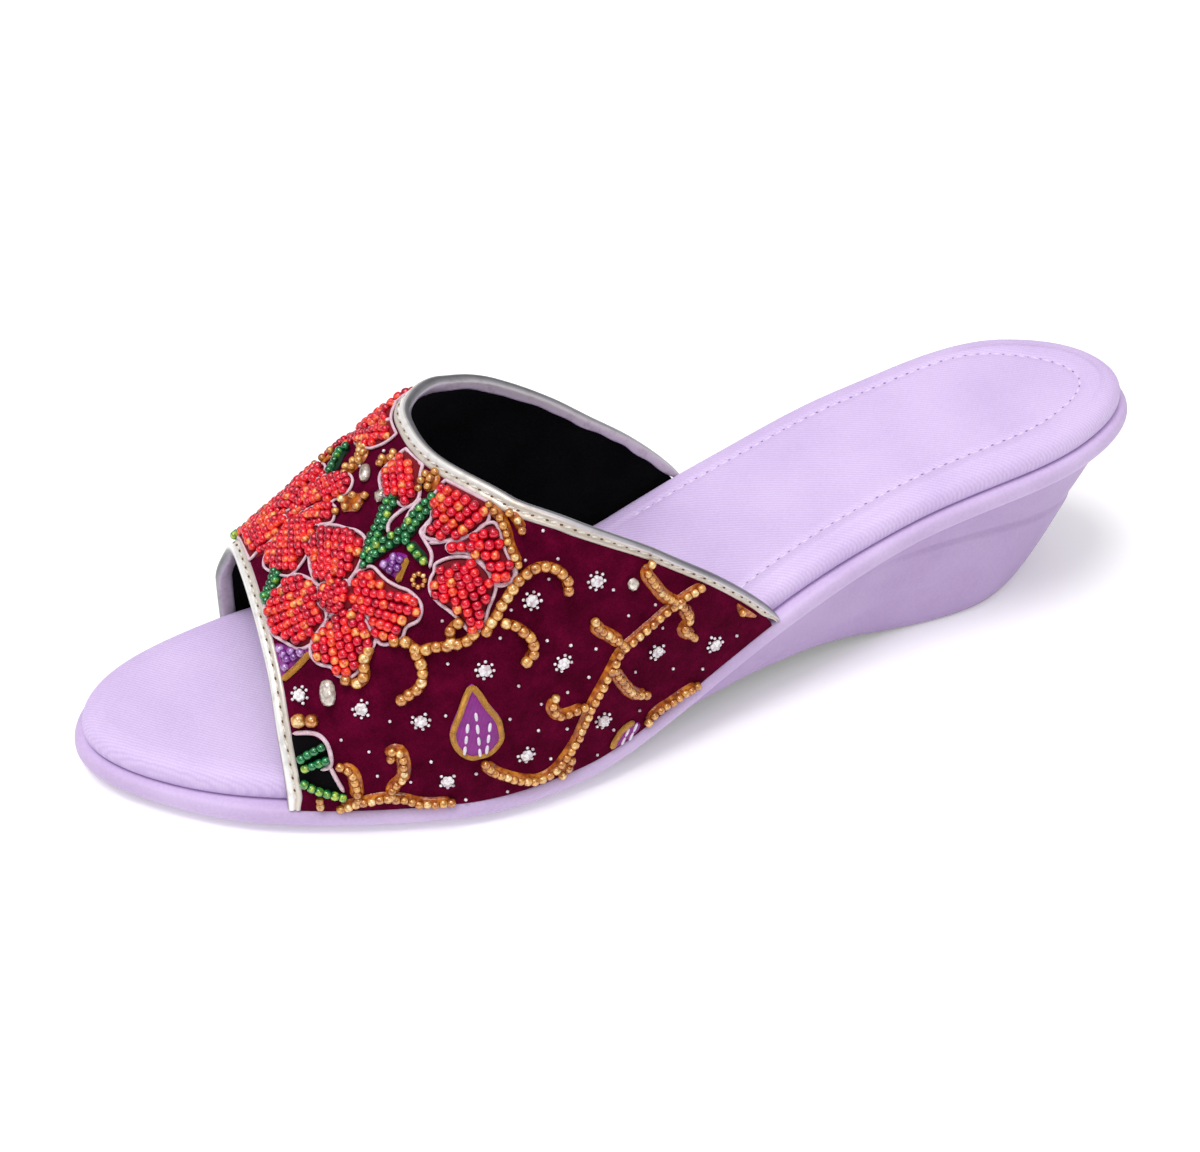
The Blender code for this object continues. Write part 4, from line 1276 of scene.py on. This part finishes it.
CREST_BED = ((-82, 72), (-60, 78), (
    (-73, 58), (-70, 62.5), (-67, 66), (-66.5, 69), (-64.5, 69.5), (-63, 71.5), (-63, 75), (-59.5, 77),
    (-58, 79.5), (-58, 82.5), (-60, 84), (-61.5, 86), (-61.5, 89), (-63, 92), (-64.5, 91), (-67, 88.5),
    (-70.5, 85.5), (-73, 83.5), (-76, 81), (-79.5, 77.5), (-82, 71), (-82, 66), (-80.5, 64.5), (-77, 65),
    (-76.5, 60)))
THROAT_PETALS = (
    ((-55.5, 95.5), (-46, 92), (
        (-54, 91.5), (-53, 89.5), (-51, 89), (-49, 89.5), (-47, 91), (-46, 93), (-46.5, 95), (-48, 96),
        (-50, 95), (-52, 94.5), (-54, 93))),
    ((-54, 98), (-44.5, 105), (
        (-53, 99.5), (-51.5, 97), (-48, 96.5), (-46.5, 96), (-45.5, 98), (-45, 102), (-44.5, 105.5),
        (-46, 108), (-49.5, 107.5), (-51.5, 104), (-53, 101.5))),
    ((-54.5, 98), (-59.5, 97.5), (
        (-59.5, 95.8), (-57.5, 96), (-56, 95.2), (-54.5, 98), (-54.2, 99.3), (-56, 99.5), (-58.5, 99.2),
        (-60, 97.5))),
    ((-54.5, 101), (-58, 107), (
        (-54, 101), (-56.5, 100.5), (-59, 101.5), (-60, 104), (-59, 107), (-56.5, 108.5), (-53.5, 107.5),
        (-52.8, 104))),
)
THROAT_BED = ((-56, 90), (-50, 108), (
    (-54, 91.5), (-53, 89.5), (-51, 89), (-49, 89.5), (-47, 91), (-46, 93), (-45.5, 98), (-45, 102),
    (-44, 105.5), (-45.5, 108.5), (-50, 109), (-55, 109.5), (-59, 107.5), (-60, 103), (-60, 98),
    (-57.5, 95.5), (-55, 94)))
THROAT_BUD = ((-49, 69), (-46, 84.5), (
    (-50, 69.7), (-51.5, 71.5), (-53, 74), (-53, 76.5), (-52.5, 79), (-51, 81), (-49, 82.5), (-47.5, 84),
    (-45.7, 84.5), (-44.5, 82.5), (-44, 80.5), (-45.5, 78.5), (-46.5, 76), (-47, 73.5), (-48, 71)))
FANS = (
    ((-49, 61.5), (-37, 70), (
        (-45.5, 69.5), (-44, 71.5), (-42, 73.5), (-40, 73.5), (-38, 71), (-36, 68.5), (-36.5, 66),
        (-37, 64), (-38.5, 62.8), (-41, 61.5), (-43.5, 60.7), (-45, 61), (-48, 61.7), (-48.5, 62.7),
        (-47.5, 64), (-46, 66.5))),
    ((-47, 57), (-34.5, 56.5), (
        (-45, 59.3), (-43.5, 60.3), (-41.5, 60.6), (-39.5, 61.3), (-38, 62.5), (-36, 62.7), (-35.5, 61),
        (-35.5, 58.5), (-35, 56), (-34, 53.5), (-34.5, 51.7), (-37, 50.7), (-38.5, 51.7), (-39, 54),
        (-40.5, 56.5), (-42, 57.7), (-44.5, 58))),
)
DROP_BUD = ((-44.5, 56.5), (-44, 41.5), (
    (-48.5, 54), (-48, 55.5), (-45.5, 56.5), (-43, 56.5), (-40.5, 55.5), (-39.5, 53.5), (-38.5, 51),
    (-39, 49), (-40.5, 46.5), (-41.5, 44), (-42.5, 42.5), (-44, 41.5), (-45, 42.5), (-46, 44.5),
    (-47.5, 46.5), (-49, 48), (-50, 50), (-49.5, 52.5)))
DISC = ((-70.5, 49.5), (-63.5, 49.5), (
    (-63.3, 49.5), (-64.4, 52.2), (-67, 53.2), (-69.6, 52.2), (-70.7, 49.5), (-69.6, 46.8), (-67, 45.8),
    (-64.4, 46.8)))
DROP = ((-47.5, 12), (-46.5, 30), (
    (-46.5, 30), (-49.5, 24.5), (-51.5, 20), (-51.5, 16.5), (-50, 13.5), (-48, 12), (-46, 12),
    (-43.5, 12.5), (-41, 15), (-40.5, 17.5), (-41, 21.5), (-43.5, 26), (-45, 29)))
PATCH_DASHES = (((-13.2, 1.0), (-12.2, 2.8)), ((-11.2, 0.8), (-10.2, 2.6)))
DROP_DASHES = (((-48, 20.5), (-49, 15)), ((-46, 23), (-46, 14)), ((-43.5, 20), (-44.5, 14.5)))
PURPLE_PATCHES = (
    ((-54.5, 54), (-56.5, 58), (
        (-58.5, 56.5), (-56.5, 58), (-54.5, 59), (-53, 58), (-54, 56), (-55.5, 53), (-57.5, 54.5))),
    ((-77.5, 34), (-79, 39), ((-81, 39), (-78, 38), (-75, 37.5), (-78, 34), (-81.5, 30.7), (-81.7, 35))),
    ((-15, 1), (-8.5, 1), (
        (-15.3, 0.2), (-14.6, 2.2), (-12.8, 3.6), (-10.4, 3.8), (-8.6, 2.2), (-9.4, 0.5), (-12, 0.2))),
)
GOLD_BARS = (
    ((-53, 57.5), (-54.5, 55), (-56, 52.2)), ((-75, 36.7), (-78, 33.5), (-81.5, 30.2)),
    ((-15.9, 0.5), (-15, 2.6), (-13, 4.3), (-10.2, 4.3)),
)
REAR_LEAF = ((15.5, 15), (20.5, 6), (
    (17, 14.5), (15.5, 14), (15.8, 11.5), (17.5, 9), (20.5, 6), (20.5, 8), (19.5, 9.5), (18.5, 12)))
CORDS = (
    ((-49.5, 55), (-48.5, 58), (-49, 61), (-49.3, 63), (-48, 64.5), (-46.2, 66.5), (-45.5, 69.5)),
    ((-48.5, 60.5), (-46, 60.5), (-43, 61)), ((-50, 69.5), (-48.5, 69.7), (-47.3, 71)),
    ((-50, 69.5), (-52.3, 68), (-54.3, 66), (-55, 63.5)), ((-48, 70), (-50, 68), (-51.7, 65.3)),
    ((-34, 54), (-34.3, 51.7), (-36.7, 50.5), (-38.5, 51.3)),
)
SPRIGS = (
    # green stems, with their widths in mm
    (((-52, 71.5), (-53.5, 70), (-55.5, 66), (-57.5, 63), (-59, 59.5)), 3.4),
    (((-45.5, 69.5), (-48, 67.5), (-50, 65.5), (-51.5, 63.5), (-55, 61.5), (-57.5, 60),
      (-60.5, 57.5)), 3.6),
    (((-52, 61), (-51, 58.5), (-50, 56.5)), 2.8), (((-76.5, 58), (-78, 54.5), (-80, 51)), 3.2),
    (((-56, 91.5), (-57.5, 90.5), (-59, 87.5), (-60.5, 85)), 2.8),
    (((-81, 77), (-80, 79.5), (-78, 82)), 2.6),
)
GOLD_SPRIGS = (
    # gold ones likewise
    (((-61.5, 73.5), (-60, 74), (-57.5, 73)), 4.2),
    (((-53.5, 90), (-54.5, 87), (-56.5, 85), (-58, 84)), 3.0),
    (((-46, 74.8), (-44.3, 74.8), (-42.6, 74.8)), 4.6), (((-51.5, 83.3), (-49.3, 84)), 2.8),
    (((-77, 80), (-75.5, 81.5), (-73.5, 83)), 2.4), (((-62, 93), (-60.5, 94), (-58.5, 95)), 2.2),
    (((-36, 68.5), (-35.5, 66), (-34.5, 64), (-34, 61), (-34, 58.5), (-33.5, 56), (-33, 54)), 2.4),
    (((-32.5, 64.5), (-31.5, 63), (-31, 60.5)), 2.2),
)
LEAF_LINES = (
    ((-82.5, 18.5), (-80, 19), (-77.5, 19), (-76, 17.5), (-75.5, 14.5), (-76, 12), (-78, 11)),
    ((-76, 12), (-75.5, 10), (-74, 5.5)),
)
LEAF_EDGE = (
    (-82.5, 18), (-79, 18.5), (-76.3, 16.5), (-76, 13), (-75.5, 9), (-74.5, 5.5), (-78, 5), (-82, 6),
    (-83, 12),
)
LEAF_ROWS = (
    # rows of beads, with the lowest and highest of their tints
    (((-81.2, 13.4), (-79, 15.0), (-77, 16.2)), 0.0, 0.55),
    (((-80.8, 11.3), (-78.6, 12.4), (-76.6, 13.3)), 0.3, 1.0),
    (((-81.5, 7.6), (-79, 6), (-74.3, 4.3)), 0.8, 1.0),
)
LEAF_BEADS = ((-80.2, 21.5), (-77.7, 21.8))
STARS = (
    (-79, 27), (-68, 25), (-57, 22.5), (-53, 7), (-17.5, 45), (-31.5, 46), (-43, 33), (-26.5, 30),
    (-4.5, 19), (10, 8), (-18, 10.5), (-36, 10),
)
GOLD_RING_OUTER, GOLD_RING_INNER = (-52, 52.5), (-52, 43.5)
FOOT_BEADS = ((-79, 3.2), (-79, 1.6))
OVALS = (((-55, 81), -0.5, 0.95), ((-73.5, 28), -1.25, 1.35))   # place, turn in radians, size
SQUARE_BEADS = ((-9.5, 39.5), (-54, 73.5))
DOTS = (
    (-39, 39.5), (-29.5, 36.5), (-24.5, 33.5), (-50, 35), (-19, 30), (-21, 24), (-36.5, 28), (-26, 22.5),
    (-10, 18), (-0.5, 11), (7, 4), (15.5, 5.5), (-32, 22), (-39, 20.5), (-52, 23.5), (-33, 15.5),
    (-26.5, 13), (-30.5, 6.5), (-47, 8), (-15.5, 6), (-9, 6.5), (-19.5, 1.5), (-40.5, 1), (-49.5, 1),
    (-14, 41), (0, 34.5), (-11, 33), (-4.5, 31), (-3, 24), (9, 11), (13, 16.5), (9, 31.5), (-47, 85),
    (-50.5, 86.5), (-55.5, 84), (-49.5, 44), (-48, 53.5), (-31.5, 54.5), (-31, 60.5), (-27, 59.5),
    (-25, 53), (-36, 45), (-27.5, 49.5), (-73, 18), (-68, 15.5), (-63, 22.5), (-67, 9.5), (-60.5, 7.5),
    (-56, 12.5),
)

PAD_HIGH = 1.0 * MM             # stuffing of the main petals and the fans over the cloth


def inward(shape, middle, onto, part):
    """A charted shape taken over to the inner side, drawn smaller about a middle."""
    if isinstance(shape[0], (int, float)):
        return tuple(o + (p - m) * k for p, m, o, k in zip(shape, middle, onto, part))
    return tuple(inward(row, middle, onto, part) for row in shape)


def on_both(shapes, middle, onto, part):
    """The shapes on the outer side, and then as taken over to the inner side."""
    taken = [(INNER, *inward(shape, middle, onto, part)) for shape in shapes]
    return [(OUTER, *shape) for shape in shapes] + taken


def drape(path, side, step, lift=0.0):
    """A charted path laid on the band: places, ways along, ways out."""
    fine = smooth_path(path, step)
    fine = fine[on_band(fine, side)]
    place, out = charted(fine, side)
    place = place + out * lift
    return place, unit(np.gradient(place, axis=0)), out


def rounded_ends(place, section, reach):
    """The section of a strip at each of its places, drawn in toward round ends."""
    run = run_of(place)
    off_end = np.clip(np.minimum(run, run[-1] - run) / reach, 0.0, 1.0)
    return section[None] * np.maximum(np.sqrt(1.0 - (1.0 - off_end) ** 2), 0.12)[:, None, None]


def laid(path, side, wide, high, reach, over=0.0, sides=8, lift=0.0):
    """A round-ended strip along a charted path, all its sizes in mm; over: the path
    over the cloth, and lift: the strip's middle over its path."""
    place, _, out = drape(path, side, 0.5)
    section = oval(wide * MM, high * MM, sides, lift * MM)
    return place + out * over * MM, out, rounded_ends(place, section, reach * MM)


def sprig_beads(path, wide, size):
    """Slanting cross rows of small beads over a stuffed stem."""
    place, ahead, out = drape(path, OUTER, 1.75)
    across = np.cross(out, ahead)
    count = max(int(round(wide / (2.1 * size))), 1)
    rows = []
    for k in range(count):
        s = 2.0 * k / (count - 1) - 1.0 if count > 1 else 0.0
        off = s * (0.5 * wide - 1.0 * size) * MM
        high = (0.55 + 0.75 * math.sqrt(max(1 - 0.8 * s * s, 0.0))) * MM
        spots = place + across * off + ahead * (off * 0.55) + out * high
        rows.append((spots, unit(across + ahead * 0.55), out))
    return sized(tuple(np.concatenate([row[k] for row in rows]) for k in range(3)), size)


def level_way(out):
    """Level way across a way out."""
    return unit(np.cross(out, np.array([[0.0, 0.0, 1.0]])))


def ring_of(star, side, count, radius, lift, gone=0.0):
    """Places in a ring round a charted spot; gone: how many are left out by chance."""
    place, out = charted([star], side)
    way = level_way(out)
    over = np.cross(out, way)
    first = CHANCE.random()
    turns = 2 * math.pi * (np.arange(count) + first + CHANCE.uniform(-0.1, 0.1, count)) / count
    turns = turns[CHANCE.random(count) >= gone]
    ring = way * np.cos(turns)[:, None] + over * np.sin(turns)[:, None]
    place = place + ring * radius * MM + out * lift * MM
    return place, np.repeat(way, len(turns), 0), np.repeat(out, len(turns), 0)


def single(star, side, lift, turn=0.0):
    """One charted spot: place, way along, way out."""
    place, out = charted([star], side)
    way = level_way(out)
    way = unit(way * math.cos(turn) + np.cross(out, way) * math.sin(turn))
    return place + out * lift * MM, way, out


# Middle on the outer side, where it goes on the inner side, and how much of its
# size along and round the band it keeps there.
INNER_FLOWER = ((-68, 49.5), (-66.5, 29.5), (0.78, 0.72))
INNER_FAN = ((0, 49.5), (0, 40.5), (1.0, 0.85))


def red_flowers():
    """The stuffed flowers, fans and buds with their beads and cords."""
    main = [Motif(*m, PAD_HIGH) for m in on_both(MAIN_PETALS, *INNER_FLOWER)]
    discs = [Motif(*m, 2.2 * MM) for m in on_both([DISC], *INNER_FLOWER)]
    fans = [Motif(*m, PAD_HIGH) for m in on_both(FANS, *INNER_FAN)]
    buds = [Motif(*m, 1.2 * PAD_HIGH) for m in on_both([DROP_BUD], *INNER_FAN)]
    bud = Motif(OUTER, *THROAT_BUD, 1.2 * PAD_HIGH)
    crest = [Motif(OUTER, *m, 0.8 * PAD_HIGH) for m in CREST_PETALS]
    throat = [Motif(OUTER, *m, 0.7 * PAD_HIGH) for m in THROAT_PETALS]
    beds = [Motif(OUTER, *CREST_BED, 0.35 * MM), Motif(OUTER, *THROAT_BED, 0.3 * MM)]
    large, small = main + discs + fans + buds + [bud], crest + throat

    pads = pad_mesh("flower_pads", large + small + beds, [CRIMSON_SATIN])
    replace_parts(pads, "flower_main", "flower_crest", "flower_throat", "flower_inner", "bud_throat",
                "bud_outer", "fan_outer", "fan_inner")
    middle = [m.dome(grow) for m, grow in zip(discs, (0.94, 0.75))]
    rows = [m.beads() for m in main] + [m.beads(1.04, fan=0.12, margin=0.3) for m in fans]
    rows += [m.beads(1.0, part=(0.06, 9.0), fan=0.4) for m in buds] + [bud.beads(0.95, fan=0.12)]
    outer_rows = rows[:len(MAIN_PETALS)]
    rows = [clear_of(set_of, middle, 1.6 * MM) for set_of in rows]
    petals = [m.beads(0.92) for m in crest] + [m.beads(0.84) for m in throat]
    between = [clear_of(beds[0].beads(0.8, sunk=0.45), petals + outer_rows, 1.3 * MM),
               clear_of(beds[1].beads(0.74, sunk=0.45), petals, 1.4 * MM)]
    beads = sewn("red_seed_beads", SEED_BEAD, rows + middle + petals + between, RED, seed=3)

    cords = []
    for m, wide in [(m, 1.0) for m in large] + [(m, 0.8) for m in crest + throat[:2]]:
        cords.append((*m.cord(0.55 * MM, 0.45), oval(0.8 * wide * MM, 0.85 * wide * MM, 8)))
    for path in CORDS:
        for side, shape in ((OUTER, path), (INNER, inward(path, *INNER_FAN))):
            cords.append(laid(shape, side, 0.85, 0.9, 0.5, 0.42))
    for path in LEAF_LINES:
        for side in SIDES:
            cords.append(laid(path, side, 1.0, 1.0, 1.5, 0.5))
    return [pads, beads, strip(cords, "petal_cords", [PINK_CORD])]


def patches_and_drops():
    """Purple satin drops and patches with their gold borders, and the pads of the
    two rear leaves."""
    drops = [Motif(side, *DROP, 0.9 * MM) for side in SIDES]
    patches = [Motif(OUTER, *m, 0.5 * MM) for m in PURPLE_PATCHES]
    purple = pad_mesh("drop_pads", drops + patches, [PURPLE_SATIN])
    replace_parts(purple, "drop_outer", "drop_inner")
    borders = [(*m.cord(0.45 * MM, -0.8), oval(1.5 * MM, 1.2 * MM, 8)) for m in drops]
    borders += [laid(path, OUTER, 1.6, 1.1, 0.7, 0.3) for path in GOLD_BARS]
    dashes = []
    for path in DROP_DASHES:
        for side, m in zip(SIDES, drops):
            u, v = patch(*DROP[:2], side)[1](smooth_path(path, 2.6)).T
            place, out = m.lay(u, v, m.height(u, v) + 0.12 * MM)
            dashes.append((place, unit(np.gradient(place, axis=0)), out))
    dashes += [drape(path, OUTER, 1.7, 0.5 * MM) for path in PATCH_DASHES]
    leaves = [Motif(side, *REAR_LEAF, 0.7 * MM) for side in SIDES]
    violet = [m.beads(0.85, margin=0.9, fan=0.1) for m in patches[:2]]
    return [purple, strip(borders, "drop_borders", [GOLD_THREAD]),
            pad_mesh("rear_leaves", leaves, [AMBER_BACKING]),
            sewn("violet_beads", SEED_BEAD, violet, VIOLET, seed=18),
            sewn("drop_dashes", DASH, dashes, WHITE_THREAD, sizes=1.25, seed=12)], leaves


def greens():
    """Black leaf pads and dark green stems, with their rows of green beads."""
    leaf = [Motif(side, (-75, 12), (-82, 12), LEAF_EDGE, 0.3 * MM) for side in SIDES]
    stems = [laid(path, OUTER, wide - 0.3, 1.7, 1.2, lift=0.25) for path, wide in SPRIGS]
    green = [sprig_beads(path, wide, 0.92) for path, wide in SPRIGS]
    tints = [CHANCE.random(len(row[0])) for row in green]
    for path, low, high in LEAF_ROWS:
        for side in SIDES:
            place, ahead, out = drape(path, side, 1.62)
            green.append(sized((place + out * 0.92 * MM, ahead, out), 0.97))
            tints.append(low + (high - low) * CHANCE.random(len(place)))
    return [pad_mesh("leaf_pads", leaf, [BLACK_FELT]), strip(stems, "stem_cores", [GREEN_FELT]),
            sewn("green_beads", SEED_BEAD, green, EMERALD, tints=np.concatenate(tints), seed=4)]


def vines(leaves):
    """Amber vines: a clear backing with a row of beads set in it; gold sprigs, and
    the gold beads of the rear leaves, the ring and the leaf at the toe."""
    backing, places = [], []
    for side, these in ((OUTER, VINES_OUTER + VINES_BOTH), (INNER, VINES_INNER + VINES_BOTH)):
        for path in these:
            large = path not in VINES_BOTH
            wide, pitch, over, size = (2.0, 2.1, 1.05, 1.16) if large else (3.0, 1.72, 0.85, 0.92)
            backing.append(laid(path, side, wide, 1.6, 1.5, sides=10, lift=0.1))
            place, ahead, out = drape(path, side, pitch, over * MM)
            sway = np.cross(out, ahead) * CHANCE.uniform(-0.16, 0.16, len(place))[:, None] * MM
            places.append(sized((place + sway, unit(ahead + 120 * sway), out), size))
    backing += [laid(path, OUTER, wide, 1.4, 0.9, lift=0.15) for path, wide in GOLD_SPRIGS]
    small = [sprig_beads(path, wide, 0.85) for path, wide in GOLD_SPRIGS]
    small += [m.beads(0.8) for m in leaves]
    for side, ring in ((OUTER, GOLD_RING_OUTER), (INNER, GOLD_RING_INNER)):
        small.append(sized(ring_of(ring, side, 8, 1.35, 0.55), 0.55))
        small += [sized(single(spot, side, 0.9, 0.5), 1.45) for spot in LEAF_BEADS]
        small += [sized(single(spot, side, 0.6, 1.57), 0.95) for spot in FOOT_BEADS]
    return [strip(backing, "vine_cords", [AMBER_BACKING]),
            sewn("amber_beads", VINE_BEAD, places, AMBER, seed=5),
            sewn("gold_seed_beads", SEED_BEAD, small, AMBER, seed=11)]


def stars_and_dots():
    """White star clusters, single white beads, and the few clear and square ones."""
    hearts, rays = [], []
    for star in STARS:
        for side in SIDES:
            if on_band([star], side, 5.5)[0]:
                hearts += [single(star, side, 0.85), ring_of(star, side, 6, 0.80, 0.6)]
                rays.append(ring_of(star, side, 8, 1.85, 0.35, 0.2))
    dots = [single(dot, side, 0.35, 3 * CHANCE.random()) for dot in DOTS for side in SIDES
            if on_band([dot], side, 4.5)[0] and (side == OUTER or dot[0] > -40 and dot[1] < 40)]
    squares = [single(spot, OUTER, 0.7, 0.4) for spot in SQUARE_BEADS]
    ovals = [sized(single(spot, OUTER, 0.8, turn), size) for spot, turn, size in OVALS]
    return [sewn("star_hearts", TINY_BEAD, hearts, PEARL, sizes=1.5, seed=6),
            sewn("star_rays", TINY_BEAD, rays, PEARL, sizes=0.85, seed=8),
            sewn("white_dots", DOT, dots, PEARL, seed=10),
            sewn("oval_beads", OVAL_BEAD, ovals, CLEAR, seed=13),
            sewn("square_beads", SQUARE_BEAD, squares, CLEAR, seed=14)]


def beadwork():
    """Everything sewn on the band."""
    drops, leaves = patches_and_drops()
    return red_flowers() + drops + greens() + vines(leaves) + stars_and_dots()


def stitching():
    """Stitch rows on both bindings and round the footbed, with their needle holes."""
    made = []
    for name, part in (("throat", 1), ("toe", 0)):
        place, way, out = binding_stitches(part)
        across = np.cross(out, way)
        threads = (place - out * 0.02 * MM, unit(way + 0.2 * across), out)
        made.append(sewn(name + "_stitches", DASH, [threads], SILVER_THREAD, sizes=0.85, seed=9))
        between = (place + way * 0.5 * STITCH_PITCH - out * 0.02 * MM, unit(way + 0.45 * across), out)
        made.append(sewn(name + "_marks", HOLE, [between], FOIL_HOLE, sizes=0.9, seed=15))
    line = stitch_line()
    rise, run = np.gradient(line[:, 2]), np.gradient(line[:, 1])
    slope = -rise / np.maximum(np.abs(run), 1e-6) * np.sign(run)
    ups = np.stack([np.zeros(len(line)), slope, np.ones(len(line))], -1)
    place, way, out = evenly(line, unit(ups), 2.95 * MM, 2.0 * MM)
    threads = (place - out * 0.40 * MM, way, out)
    made.append(sewn("footbed_stitches", DASH, [threads], PALE_THREAD, sizes=0.95, seed=16))
    between = (place + way * 1.48 * MM - out * 0.42 * MM, way, out)
    made.append(sewn("footbed_holes", HOLE, [between], NEEDLE_HOLE, sizes=0.95, seed=17))
    return made


# --------------------------------------------------------------------- assembly
PIECES = [
    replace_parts(footbed(), "insole_pad"),
    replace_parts(rim(), "platform_rim"),
    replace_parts(wedge(), "wedge_heel"),
    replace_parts(velvet_face(), "upper_band"),
    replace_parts(lining(), "upper_band"),
    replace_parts(binding("throat_fold", 1), "throat_binding"),
    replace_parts(binding("toe_fold", 0), "toe_binding"),
]
PIECES += beadwork()
PIECES += stitching()
for piece in PIECES:
    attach(piece, "root")
for bead in BEADS:
    bpy.data.objects.remove(bead, do_unlink=True)
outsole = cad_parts["outsole"]
outsole.data.materials.clear()
outsole.data.materials.append(RUBBER)

# ------------------------------------------------------------ floor, light, camera
floor_mesh = bpy.data.meshes.new("floor")
floor_mesh.from_pydata([(-3, -3, 0), (3, -3, 0), (3, 3, 0), (-3, 3, 0)], [], [(0, 1, 2, 3)])
floor_paint, _, _ = finish("pale_floor", 0.7, Base_Color=(0.97, 0.97, 0.975, 1), Emission_Color=(1, 1, 1, 1),
                           Emission_Strength=0.18)
floor_mesh.materials.append(floor_paint)
floor = placed("floor", floor_mesh)

world = bpy.data.worlds.new("studio")
world.use_nodes = True
background = world.node_tree.nodes["Background"]
background.inputs["Color"].default_value = (1.0, 1.0, 1.0, 1)
background.inputs["Strength"].default_value = 0.22
bpy.context.scene.world = world

SUNS = (
    # name, strength, width of its disc in degrees, way its light goes
    ("overhead", 1.45, 27, (-0.05, 0.22, -1.0)),
    ("overhead_soft", 1.25, 90, (-0.05, 0.22, -1.0)),
    ("front", 0.38, 16, (-0.773, -0.05, -0.64)),
)
for name, energy, spread, way in SUNS:
    data = bpy.data.lights.new(name, "SUN")
    data.energy, data.angle = energy, math.radians(spread)
    placed(name, data).rotation_euler = Vector(way).to_track_quat("-Z", "Y").to_euler()

LENS = 70.0
EYE = (0.3761, -0.1360, 0.3613)
AIM = (-0.0034, -0.0052, 0.0245)
camera_data = bpy.data.cameras.new("camera")
camera_data.lens = LENS
camera_data.sensor_width = 36.0
camera = placed("camera", camera_data)
camera.location = EYE
camera.rotation_euler = (Vector(AIM) - camera.location).to_track_quat("-Z", "Y").to_euler()
bpy.context.scene.camera = camera
bpy.context.scene.view_settings.view_transform = "Standard"
